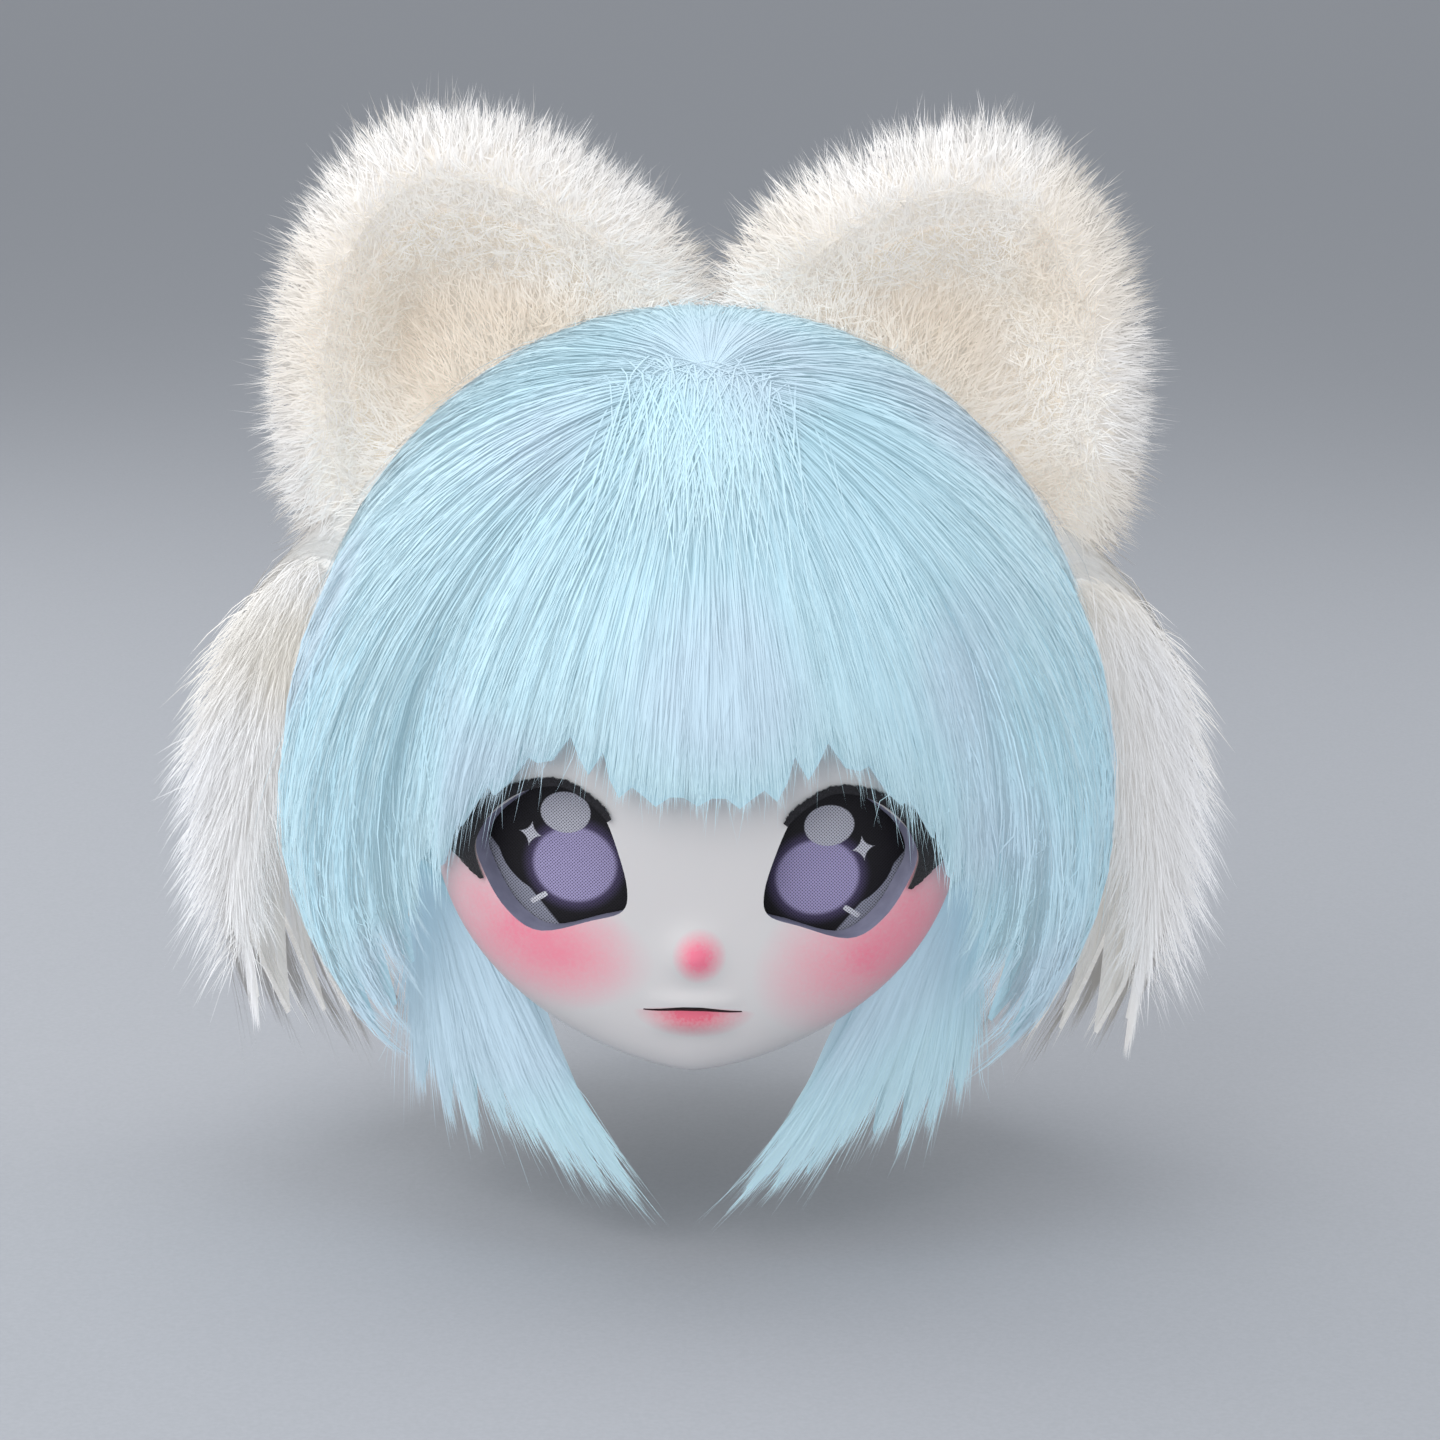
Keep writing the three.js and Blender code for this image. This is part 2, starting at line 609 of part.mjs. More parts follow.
function headShell() {
  const crown = new THREE.Vector3(0, 0, 1);
  const direction = (u, t) => {
    const edge = shellEdge(u);
    const angle = crown.angleTo(edge);
    return crown
      .clone()
      .multiplyScalar(Math.sin((1 - t) * angle) / Math.sin(angle))
      .addScaledVector(edge, Math.sin(t * angle) / Math.sin(angle))
      .normalize();
  };
  const at = (depth) => (u, t) => {
    const d = direction(u, t);
    return d.multiplyScalar(shellRadius(d) - depth);
  };
  return wallGeometry({ columns: 36, rows: 8, closed: true, pole: true, outer: at(0), inner: at(SHELL_WALL) });
}

function eyeScreen(side) {
  const front = SOCKET_DEPTH + SCREEN_GAP;
  const margin = SOCKET_WALL - SCREEN_TUCK;
  const curve = eyeOutlineCurve();
  const at = (depth) => (u, t) => {
    const p = curve.getPoint(u).multiplyScalar((1 + margin / EYE_HALF_WIDTH) * t);
    return eyePoint(side, p.x, p.z, depth);
  };
  return wallGeometry({
    columns: 22,
    rows: 2,
    closed: true,
    pole: true,
    outer: at(front),
    inner: at(front + SCREEN_WALL),
  });
}

function lash(side) {
  const middle = LASH_ROWS.map(({ degrees, near, far }) => new THREE.Vector3(degrees, near, far));
  const rows = new THREE.CatmullRomCurve3(middle, false, "catmullrom", 0.5);
  const at = (lift) => (u, t) => {
    const { x: degrees, y: near, z: far } = rows.getPoint(u);
    const angle = THREE.MathUtils.degToRad(degrees);
    const reach = EYE_HALF_WIDTH * lerp(near, far, t);
    return eyePoint(side, Math.cos(angle) * reach, Math.sin(angle) * reach, -lift, false);
  };
  return wallGeometry({
    columns: 20,
    rows: 2,
    outer: at(LASH_GAP + LASH_WALL),
    inner: at(LASH_GAP),
  });
}

// Tips of the blue hair all the way round, from the middle of the fringe.
function frontTips() {
  const tip = ({ side, back, up, notch }) => {
    const point = shareOfHair(side, back ?? 0, up);
    if (back === undefined) {
      point.y = faceY(point.x, point.z) - FRINGE_LIFT - TIP_WALL;
    }
    return { point, notch };
  };
  const half = FRONT_TIPS.map(tip);
  const other = half.slice(1, -1).reverse();
  const all = [...half, ...other.map(({ point, notch }) => ({ point: mirroredX(point), notch }))];
  return {
    locks: all.length,
    points: new THREE.CatmullRomCurve3(all.map(({ point }) => point), true, "catmullrom", 0.5),
    notches: all.map(({ notch }) => notch),
  };
}

function frontHair() {
  const tips = frontTips();
  const whorl = shareOfHair(WHORL.side, WHORL.back, WHORL.up);
  whorl.setLength(hairRadius(whorl.clone().normalize()));
  const outer = (u, t) => {
    const place = u * tips.locks;
    const valley = Math.sin(Math.PI * place) ** 2;
    const low = Math.floor(place) % tips.locks;
    const notch = lerp(tips.notches[low], tips.notches[(low + 1) % tips.locks], place % 1);
    const point = flow(whorl, tips.points.getPoint(u % 1), 0, t * (1 - notch * valley));
    const groove = notch > 0 ? 1 - 0.018 * valley * smoothstep(t, 0.2, 0.8) : 1;
    return heldOutside(point.multiplyScalar(groove), capRadius, CAP_GAP);
  };
  const inner = (u, t) => {
    const point = outer(u, t);
    const seamed = point.y > 0 && point.z > -0.5 * HAIR_HALF_HEIGHT;
    const wall = seamed ? HAIR_PILE : lerp(HAIR_PILE, TIP_WALL, smoothstep(t, 0.7, 1));
    return backedBy(point, wall, capRadius, CAP_GAP);
  };
  const columns = tips.locks * FRONT_LOCK_STEPS;
  return wallGeometry({ columns, rows: 8, closed: true, pole: true, outer, inner });
}

function sideLock(side) {
  const sizes = { locks: SIDE_LOCKS, pile: LOCK_PILE, gap: LOCK_GAP, rowSteps: 6 };
  return furSheet({ rows: LOCK_ROWS, side, seat: shellRadius, ...sizes });
}

function backFur() {
  const other = BACK_FUR_ROWS.slice(0, -1).reverse();
  const mirrored = other.map((row) => ({
    ...row,
    from: [-row.from[0], row.from[1], row.from[2]],
    to: [-row.to[0], row.to[1], row.to[2]],
  }));
  const rows = [...BACK_FUR_ROWS, ...mirrored];
  const sizes = { locks: BACK_LOCKS, pile: FUR_PILE, gap: FUR_GAP, rowSteps: 7 };
  let solid = solidOf(furSheet({ rows, seat: shellRadius, ...sizes }));
  for (const side of [1, -1]) {
    solid = solid.subtract(solidOf(earGeometry(side, FUR_GAP)));
  }
  return geometryOf(mainBody(solid));
}

const EAR_COLUMNS = 24;

// An ear's front or back face at a place on it, grown by a margin. Side is 1 for the left ear.
function earPoint(side, u, t, face, margin = 0) {
  const p = earCurve().getPoint(u % 1);
  p.multiplyScalar(t * (1 + margin / p.length()));
  const x = EAR_CENTRE_SIDE + p.x;
  const z = EAR_CENTRE_RISE + p.z;
  const y = earY(x, z, t, face) + (face === "front" ? -margin : margin);
  return new THREE.Vector3(side * x, y, z);
}

function earCurve() {
  return outlineCurve(EAR_OUTLINE, EAR_WIDTH, EAR_HEIGHT);
}

function earY(x, z, t, face) {
  const last = EAR_PROFILE.length - 1;
  const index = Math.min(last - 1, EAR_PROFILE.findLastIndex(({ out }) => out <= t + 1e-9));
  const [a, b] = [EAR_PROFILE[index], EAR_PROFILE[index + 1]];
  const share = (t - a.out) / (b.out - a.out);
  const free = smoothstep(Math.hypot(x, z), HAIR_HALF_HEIGHT, HAIR_HALF_HEIGHT + EAR_FREE_RISE);
  const half = EAR_BASE_THICKNESS / 2;
  if (face === "front") {
    const puff = lerp(a.forward, b.forward, share) * lerp(half, EAR_PUFF, free);
    const sunk = lerp(a.sunk, b.sunk, share) * lerp(0, EAR_HOLLOW, free);
    return EAR_BACK - puff + sunk;
  }
  return EAR_BACK + lerp(a.behind, b.behind, share) * lerp(half, EAR_BACK_BULGE, free);
}

function earGeometry(side, margin) {
  const last = EAR_PROFILE.length - 1;
  const at = (face) => (u, t) => earPoint(side, u, EAR_PROFILE[Math.round(t * last)].out, face, margin);
  return wallGeometry({
    columns: EAR_COLUMNS,
    rows: last,
    closed: true,
    pole: true,
    outer: at("front"),
    inner: at("back"),
  });
}

function earFur(side) {
  return geometryOf(mainBody(solidOf(earGeometry(side, 0)).subtract(fullDome(shellRadius, FUR_GAP))));
}

// A dome as a full solid, grown by a clearance.
function fullDome(radius, gap) {
  const rings = 18;
  const steps = 42;
  const loops = [];
  for (let ring = 1; ring < rings; ring++) {
    const down = (Math.PI * ring) / rings;
    const loop = [];
    for (let step = 0; step < steps; step++) {
      const round = (2 * Math.PI * step) / steps;
      const d = new THREE.Vector3(Math.sin(down) * Math.cos(round), Math.sin(down) * Math.sin(round), Math.cos(down));
      loop.push(d.multiplyScalar(radius(d) + gap));
    }
    loops.push(loop);
  }
  return solidOf(loftGeometry(loops));
}

function earLining(side) {
  const shares = EAR_PROFILE.map(({ out }) => out).slice(0, 3);
  const at = (lift, crown) => (u, t) => {
    const share = shares[Math.round(t * (shares.length - 1))];
    const p = earPoint(side, u, share, "front");
    p.y -= lift + crown * (1 - t ** 2);
    return p;
  };
  const lining = wallGeometry({
    columns: EAR_COLUMNS,
    rows: shares.length - 1,
    closed: true,
    pole: true,
    outer: at(LINING_GAP + TIP_WALL, LINING_PILE - TIP_WALL),
    inner: at(LINING_GAP, 0),
  });
  return geometryOf(mainBody(solidOf(lining).subtract(fullDome(hairRadius, LINING_RISE))));
}

const FINISHES = {
  mask: { color: 0xf1f0f2, roughness: 0.42, metalness: 0 },
  screen: { color: 0x2a2733, roughness: 0.85, metalness: 0 },
  lash: { color: 0x141316, roughness: 0.7, metalness: 0 },
  blueFur: { color: 0xbfe3ee, roughness: 0.6, metalness: 0 },
  whiteFur: { color: 0xf3f1ee, roughness: 0.7, metalness: 0 },
  creamFur: { color: 0xeadfcd, roughness: 0.8, metalness: 0 },
  dome: { color: 0xe9e8e6, roughness: 0.6, metalness: 0 },
};

function piece(name, geometry, finish) {
  const mesh = new THREE.Mesh(geometry, new THREE.MeshStandardMaterial(FINISHES[finish]));
  mesh.name = name;
  return mesh;
}

const head = new THREE.Group();
head.add(piece("head_shell", headShell(), "dome"));
head.add(piece("face_shell", faceShell(), "mask"));
head.add(piece("front_hair", frontHair(), "blueFur"));
head.add(piece("back_fur", backFur(), "whiteFur"));
for (const [word, side] of [["left", 1], ["right", -1]]) {
  head.add(piece(`eye_screen_${word}`, eyeScreen(side), "screen"));
  head.add(piece(`lash_${word}`, lash(side), "lash"));
  head.add(piece(`side_lock_${word}`, sideLock(side), "blueFur"));
  head.add(piece(`ear_fur_${word}`, earFur(side), "whiteFur"));
  head.add(piece(`ear_lining_${word}`, earLining(side), "creamFur"));
}
head.position.z = SHELL_WALL - SHELL_HALF_HEIGHT;

const part = new THREE.Group();
part.add(head);

export default part;
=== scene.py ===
"""A costume head: a satin resin face on a hard dome, dressed in long-pile faux fur with cupped fur ears."""
import math

import bpy
import numpy as np
from mathutils import Matrix, Vector


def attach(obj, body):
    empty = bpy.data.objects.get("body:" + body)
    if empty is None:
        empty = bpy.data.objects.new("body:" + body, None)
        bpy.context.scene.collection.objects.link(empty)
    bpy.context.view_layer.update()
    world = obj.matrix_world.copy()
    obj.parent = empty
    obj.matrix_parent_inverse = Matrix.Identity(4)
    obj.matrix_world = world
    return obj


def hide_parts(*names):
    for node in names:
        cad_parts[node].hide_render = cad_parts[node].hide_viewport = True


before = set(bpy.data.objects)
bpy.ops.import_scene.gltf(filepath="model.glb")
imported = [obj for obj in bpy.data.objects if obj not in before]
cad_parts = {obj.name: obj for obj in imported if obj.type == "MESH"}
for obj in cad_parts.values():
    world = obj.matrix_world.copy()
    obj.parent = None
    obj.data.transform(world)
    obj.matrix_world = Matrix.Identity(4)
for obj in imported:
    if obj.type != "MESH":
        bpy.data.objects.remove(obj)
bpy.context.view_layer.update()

# Shapes are worked out in millimetres about the middle of the head, which is this far below the frame's origin.
MIDDLE_DROP = 125

# Sizes of the face, its sockets and its mouth
FACE_HALF_WIDTH = 95
CHIN_DROP = 107
BROW_RISE = 50
FACE_FORWARD = 104
FACE_WALL = 3
NOSE_DROP = 62
MOUTH_DROP = 82
MOUTH_HALF_WIDTH = 17
EYE_SIDE = 50
EYE_DROP = 30
EYE_HALF_WIDTH = 26.5
EYE_HALF_HEIGHT = 26
SOCKET_DEPTH = 9
SOCKET_WALL = 2.5
SOCKET_SLANT = 0.42
SCREEN_DEPTH = 10.2

# Sizes of the hair and ears
HAIR = (143, 150, 150)
TIP_WALL = 1.6
EAR_MIDDLE = (90, 42, 132)
EAR_SIZE = (156, 148)

EYE_OUTLINE = [
    (-0.68, 0.62), (-0.87, 0.15), (-1.0, -0.35), (-0.94, -0.66), (-0.53, -0.81), (0.15, -1.0), (0.6, -0.73),
    (0.91, -0.23), (0.99, 0.12), (0.8, 0.5), (0.34, 0.9), (-0.08, 1.0), (-0.46, 0.81),
]

# Degrees round the eye, then the near and far edge in half widths of the eye
LASH_ROWS = [
    (-22, 0.95, 1), (-9, 0.98, 1.2), (3, 1.01, 1.42), (20, 0.97, 1.28), (40, 0.95, 1.15), (58, 0.95, 1.1),
    (76, 0.965, 1.09), (98, 0.985, 1.09), (118, 0.93, 1.03), (134, 0.915, 1.01), (143, 0.91, 0.97),
]

# Side, back, up and notch of each tip of the blue hair. A tip with no back lies on the face.
HAIR_TIPS = [
    (0.0, None, -0.04, 0.03), (0.1, None, -0.045, 0.03), (0.19, None, -0.03, 0.05), (0.27, None, 0.01, 0.12),
    (0.37, None, 0.03, 0.05), (0.48, None, -0.05, 0.05), (0.57, None, -0.14, 0.06), (0.62, None, -0.25, 0.08),
    (0.67, -0.3, -0.4, 0.1), (0.72, -0.24, -0.58, 0.12), (0.77, -0.15, -0.72, 0.13), (0.83, -0.04, -0.8, 0.14),
    (0.9, 0.08, -0.74, 0.12), (0.97, 0.14, -0.46, 0.03), (1.0, 0.155, 0.0, 0.0), (0.93, 0.16, 0.34, 0.0),
    (0.73, 0.17, 0.66, 0.0), (0.4, 0.175, 0.9, 0.0), (0.0, 0.18, 0.98, 0.0),
]
WHORL = (0, -0.385, 0.92)

# Root, tip, bulge and notch of the locks that hang beside the jaw
LOCK_ROWS = [
    ((0.66, -0.22, -0.36), (0.12, -0.33, -1.14), -0.04, 0.14),
    ((0.7, -0.17, -0.34), (0.26, -0.3, -1.12), -0.04, 0.18),
    ((0.74, -0.11, -0.32), (0.42, -0.24, -1.02), -0.03, 0.18),
    ((0.77, -0.05, -0.3), (0.56, -0.14, -1.06), -0.02, 0.18),
    ((0.78, 0.0, -0.28), (0.7, -0.02, -0.98), -0.01, 0.16),
]

# The same for the white fur, from behind a cheek to the middle of the back
WHITE_ROWS = [
    ((1.0, 0.2, 0.34), (1.17, 0.17, -0.68), 0.15, 0.12),
    ((0.99, 0.2, 0.4), (1.15, 0.33, -0.92), 0.16, 0.15),
    ((0.95, 0.2, 0.46), (1.02, 0.47, -0.96), 0.13, 0.16),
    ((0.9, 0.2, 0.52), (0.94, 0.63, -1.02), 0.1, 0.16),
    ((0.82, 0.2, 0.6), (0.8, 0.79, -0.97), 0.07, 0.15),
    ((0.7, 0.2, 0.7), (0.64, 0.92, -1.03), 0.05, 0.15),
    ((0.53, 0.2, 0.83), (0.44, 1.0, -0.98), 0.04, 0.15),
    ((0.28, 0.205, 0.93), (0.22, 1.06, -1.04), 0.03, 0.15),
    ((0.0, 0.21, 0.965), (0.0, 1.08, -1.0), 0.03, 0.14),
]

EAR_OUTLINE = [
    (-0.55, 0.13), (-0.47, 0.27), (-0.37, 0.37), (-0.13, 0.5), (0.13, 0.52), (0.31, 0.36), (0.41, 0.1),
    (0.43, -0.18), (0.37, -0.47), (0.13, -0.64), (-0.1, -0.42), (-0.3, -0.18), (-0.55, -0.06),
]

# Share of the way out, then how far the bowl sinks, the rim puffs forward and the back bulges
EAR_PROFILE = [
    (0.0, 1.0, 0.0, 1.0), (0.35, 0.8, 0.0, 0.97), (0.6, 0.0, 0.45, 0.88),
    (0.78, 0.0, 1.0, 0.72), (0.92, 0.0, 0.85, 0.45), (1.0, 0.0, 0.12, 0.08),
]


def lerp(a, b, share):
    return a + (b - a) * share


def smoothstep(x, low, high):
    share = np.clip((x - low) / (high - low), 0, 1)
    return share * share * (3 - 2 * share)


def size_of(vectors):
    return np.linalg.norm(vectors, axis=-1, keepdims=True)


def unit(vectors):
    return vectors / np.maximum(size_of(vectors), 1e-9)


def on_curve(points, shares, closed=False):
    """Points of a smooth curve through a table's points."""
    points = np.asarray(points, float)
    count = len(points)
    if closed:
        place = (shares % 1) * count
        low = np.floor(place).astype(int) % count
        a, b, c, d = (points[(low + step) % count] for step in (-1, 0, 1, 2))
    else:
        ends = np.vstack([2 * points[0] - points[1], points, 2 * points[-1] - points[-2]])
        place = shares * (count - 1)
        low = np.clip(np.floor(place).astype(int), 0, count - 2)
        a, b, c, d = (ends[low + step] for step in range(4))
    w = (place - np.floor(place) if closed else place - low)[..., None]
    start, finish = (c - a) / 2, (d - b) / 2
    cubic = (2 * b - 2 * c + start + finish) * w ** 3
    return cubic + (3 * c - 3 * b - 2 * start - finish) * w ** 2 + start * w + b


# ---- Domes, face and fur as surfaces ----

def dome_radius(direction, half_width, front, back, half_height):
    depth = np.where(direction[..., 1] < 0, front, back)
    scaled = np.stack([direction[..., 0] / half_width, direction[..., 1] / depth, direction[..., 2] / half_height], -1)
    return 1 / size_of(scaled)


def shell_radius(direction):
    return dome_radius(direction, 104, 104, 126, 128)


def hair_radius(direction):
    return dome_radius(direction, 143, 123, 150, 150)


def cap_radius(direction):
    return dome_radius(direction, lerp(104, 126, smoothstep(-direction[..., 1], 0, 0.4)), 115, 126, 128)


def in_outline(x, z):
    side = np.abs(x) / FACE_HALF_WIDTH
    jaw = side ** 1.5 + (np.maximum(-z, 0) / CHIN_DROP) ** 2.9
    brow = side ** 2.2 + (np.maximum(z, 0) / BROW_RISE) ** 2.2
    return np.where(z < 0, jaw, brow) <= 1


def edge_forward(z):
    down = lerp(58, 90, np.minimum(1, np.maximum(-z, 0) / CHIN_DROP) ** 2.2)
    up = lerp(58, 97, np.minimum(1, np.maximum(z, 0) / BROW_RISE) ** 1.1)
    return np.where(z < 0, down, up)


def face_forward(share, edge_z):
    edge = edge_forward(edge_z)
    return edge + (FACE_FORWARD - edge) * np.sqrt(np.maximum(0, 1 - share ** 2.6))


def face_y(x, z):
    """The plain face's depth at a point of the front view."""
    low = np.ones(np.shape(x))
    high = np.full(np.shape(x), 64.0)
    for _ in range(30):
        middle = (low + high) / 2
        inside = in_outline(x * middle, (z + NOSE_DROP) * middle - NOSE_DROP)
        low = np.where(inside, middle, low)
        high = np.where(inside, high, middle)
    y = -face_forward(1 / low, (z + NOSE_DROP) * low - NOSE_DROP)
    return np.where(in_outline(x, z), y, -edge_forward(z))


def relief(x, z):
    """Height of the nose and lips on the plain face."""
    nose = 4.5 * np.exp(-((x / 8) ** 2) - ((z + NOSE_DROP) / 8) ** 2)
    across = np.maximum(0, 1 - (x / MOUTH_HALF_WIDTH) ** 2)
    lower = 2.2 * across * np.exp(-(((z + MOUTH_DROP + 4.4) / 4.4) ** 2))
    upper = 1.54 * across * np.exp(-(((z + MOUTH_DROP - 3.3) / 3.3) ** 2))
    return nose + lower + upper


def eye_point(side, out, up, depth, slanted=True):
    x = EYE_SIDE + out
    z = -EYE_DROP + up
    shift = depth * SOCKET_SLANT if slanted else 0
    return np.stack([side * (x - shift), face_y(x, z) + depth, z + np.zeros_like(x)], -1)


def shares_of_hair(rows):
    return np.array(rows, float) * HAIR


def flow(root, tip, bulge, share):
    """Hair from a root to a tip, swung about the middle of the head and held to the hair's dome."""
    start, end = unit(root), unit(tip)
    angle = np.arccos(np.clip((start * end).sum(-1), -1, 1))[..., None]
    share = share[..., None]
    direction = unit(start * np.sin((1 - share) * angle) + end * np.sin(share * angle))
    sizes = size_of(root) / hair_radius(start), size_of(tip) / hair_radius(end)
    size = lerp(*sizes, share ** 2) * (1 + bulge[..., None] * np.sin(np.pi * np.clip(share, 0, 1) ** 0.7))
    return direction * size * hair_radius(direction)


def held_outside(points, seat, gap):
    direction = unit(points)
    return direction * np.maximum(size_of(points), seat(direction) + gap)


def backed(points, wall, seat, gap):
    """The inner face behind a fur's outer face."""
    direction = unit(points)
    return direction * np.maximum(size_of(points) - wall[..., None], seat(direction) + gap)


def tip_points():
    tips = []
    for side, back, up, _ in HAIR_TIPS:
        x, y, z = shares_of_hair([(side, back or 0, up)])[0]
        tips.append((x, y if back is not None else float(face_y(np.array(x), np.array(z))) - 9.6, z))
    return np.array(tips + [(-x, y, z) for x, y, z in tips[-2:0:-1]])


TIPS = tip_points()
NOTCHES = np.array([row[3] for row in HAIR_TIPS] + [row[3] for row in HAIR_TIPS[-2:0:-1]])
WHORL_POINT = shares_of_hair([WHORL])[0]
WHORL_POINT = unit(WHORL_POINT) * hair_radius(unit(WHORL_POINT))


def blue_cap(u, t):
    """The blue hair's outer face. u runs round the tips from the middle of the fringe, t from the whorl to a tip."""
    place = (u % 1) * len(TIPS)
    low = np.floor(place).astype(int) % len(TIPS)
    notch = lerp(NOTCHES[low], NOTCHES[(low + 1) % len(TIPS)], place % 1)
    valley = np.sin(np.pi * place) ** 2
    root = np.broadcast_to(WHORL_POINT, u.shape + (3,))
    points = flow(root, on_curve(TIPS, u, closed=True), np.zeros(u.shape), t * (1 - notch * valley))
    groove = np.where(notch > 0, 1 - 0.018 * valley * smoothstep(t, 0.2, 0.8), 1)
    return held_outside(points * groove[..., None], cap_radius, 1 + TIP_WALL)


def blue_cap_back(u, t):
    points = blue_cap(u, t)
    seamed = (points[..., 1] > 0) & (points[..., 2] > -75)
    wall = np.where(seamed, 20, lerp(20, 0.6, smoothstep(t, 0.7, 1)))
    return backed(points, wall, cap_radius, 1)


def sheet(rows, locks, u, t):
    roots = on_curve(shares_of_hair([row[0] for row in rows]), u)
    tips = on_curve(shares_of_hair([row[1] for row in rows]), u)
    shape = on_curve([(row[2], row[3], 0) for row in rows], u)
    valley = np.sin(np.pi * locks * u) ** 2
    points = flow(roots, tips, shape[..., 0], t * (1 - shape[..., 1] * valley))
    groove = 1 - 0.03 * valley * smoothstep(t, 0.15, 0.8)
    return points * groove[..., None]


def jaw_lock(u, t):
    return held_outside(sheet(LOCK_ROWS, 7, u, t), shell_radius, 0.2 + TIP_WALL)


def jaw_lock_back(u, t):
    wall = lerp(11, 0.6, smoothstep(t, 0.45, 1))
    return backed(jaw_lock(u, t), wall, shell_radius, 0.2)


WHITE_ROUND = WHITE_ROWS + [
    ((-a[0], a[1], a[2]), (-b[0], b[1], b[2]), bulge, notch) for a, b, bulge, notch in WHITE_ROWS[-2::-1]
]


def white_sheet(u, t):
    return held_outside(sheet(WHITE_ROUND, 21, np.clip(u, 0, 1), t), shell_radius, 2 + TIP_WALL)


def white_sheet_back(u, t):
    wall = lerp(32, 0.6, smoothstep(t, 0.45, 1))
    return backed(white_sheet(u, t), wall, shell_radius, 2)


def mirrored(surface, side):
    return lambda u, t: surface(u, t) * (side, 1, 1)


def ear_face(side, front, margin=0.0, lift=0.0):
    """An ear's front or back face. t runs from the middle of the bowl to the rim."""
    outline = [(out * EAR_SIZE[0], up * EAR_SIZE[1]) for out, up in EAR_OUTLINE]
    shares, sunk, forward, behind = np.array(EAR_PROFILE).T

    def surface(u, t):
        flat = on_curve(outline, u, closed=True)
        flat = flat * (t * (1 + margin / size_of(flat)[..., 0]))[..., None]
        x = EAR_MIDDLE[0] + flat[..., 0]
        z = EAR_MIDDLE[2] + flat[..., 1]
        free = smoothstep(np.hypot(x, z), 150, 175)
        if front:
            puff = np.interp(t, shares, forward) * lerp(12, 19, free)
            y = EAR_MIDDLE[1] - puff + np.interp(t, shares, sunk) * lerp(0, 9, free) - margin - lift
        else:
            y = EAR_MIDDLE[1] + np.interp(t, shares, behind) * lerp(12, 27, free) + margin
        return held_outside(np.stack([side * x, y, z], -1), shell_radius, 2)

    return surface


# ---- Meshes ----

def to_frame(points):
    return (np.asarray(points, float) - (0, 0, MIDDLE_DROP)) / 1000


def finish_piece(made, node, material=None, replaces=True):
    """Puts a piece on its body and in place of its plain solid."""
    if material:
        made.data.materials.append(material)
    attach(made, "root")
    if replaces:
        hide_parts(node)
    return made


def mesh_object(name, points, faces, uvs=None):
    mesh = bpy.data.meshes.new(name)
    mesh.from_pydata(to_frame(points).tolist(), [], faces)
    if uvs is not None:
        layer = mesh.uv_layers.new(name="pile")
        corners = np.empty(len(mesh.loops), np.int32)
        mesh.loops.foreach_get("vertex_index", corners)
        layer.data.foreach_set("uv", np.asarray(uvs, np.float32)[corners].ravel())
    made = bpy.data.objects.new(name, mesh)
    bpy.context.collection.objects.link(made)
    return made


def select_only(made):
    bpy.ops.object.select_all(action="DESELECT")
    made.select_set(True)
    bpy.context.view_layer.objects.active = made


def wall(name, outer, inner, columns, shares, closed=False, pole=False):
    """A closed wall between two surfaces. shares are the places of its rows from 0 to 1."""
    across = columns if closed else columns + 1
    u = np.linspace(0, 1, columns + 1)[:across]
    grid_u, grid_t = np.meshgrid(u, shares)
    rows = len(shares)
    points = np.concatenate([surface(grid_u, grid_t).reshape(-1, 3) for surface in (outer, inner)])
    uvs = np.tile(np.stack([grid_u, grid_t], -1).reshape(-1, 2), (2, 1))
    index = np.arange(rows * across).reshape(rows, across)
    left = index[:, :columns]
    right = np.roll(index, -1, axis=1)[:, :columns]
    other = rows * across
    faces = [np.stack([left[:-1], right[:-1], right[1:], left[1:]], -1).reshape(-1, 4)]
    faces.append(np.stack([left[:-1], left[1:], right[1:], right[:-1]], -1).reshape(-1, 4) + other)
    ends = [(-1, False)] if pole else [(-1, False), (0, True)]
    for row, turned in ends:
        loop = [left[row], right[row], right[row] + other, left[row] + other]
        faces.append(np.stack(loop[::-1] if turned else loop, -1))
    if not closed:
        a, b = index[:, 0], index[:, -1]
        faces.append(np.stack([a[:-1], a[1:], a[1:] + other, a[:-1] + other], -1))
        faces.append(np.stack([b[:-1], b[:-1] + other, b[1:] + other, b[1:]], -1))
    made = mesh_object(name, points, np.concatenate(faces).tolist(), uvs)
    select_only(made)
    bpy.ops.object.mode_set(mode="EDIT")
    bpy.ops.mesh.select_all(action="SELECT")
    bpy.ops.mesh.remove_doubles(threshold=1e-6)
    bpy.ops.mesh.normals_make_consistent(inside=False)
    bpy.ops.object.mode_set(mode="OBJECT")
    bpy.ops.object.shade_smooth_by_angle(angle=math.radians(50))
    return made


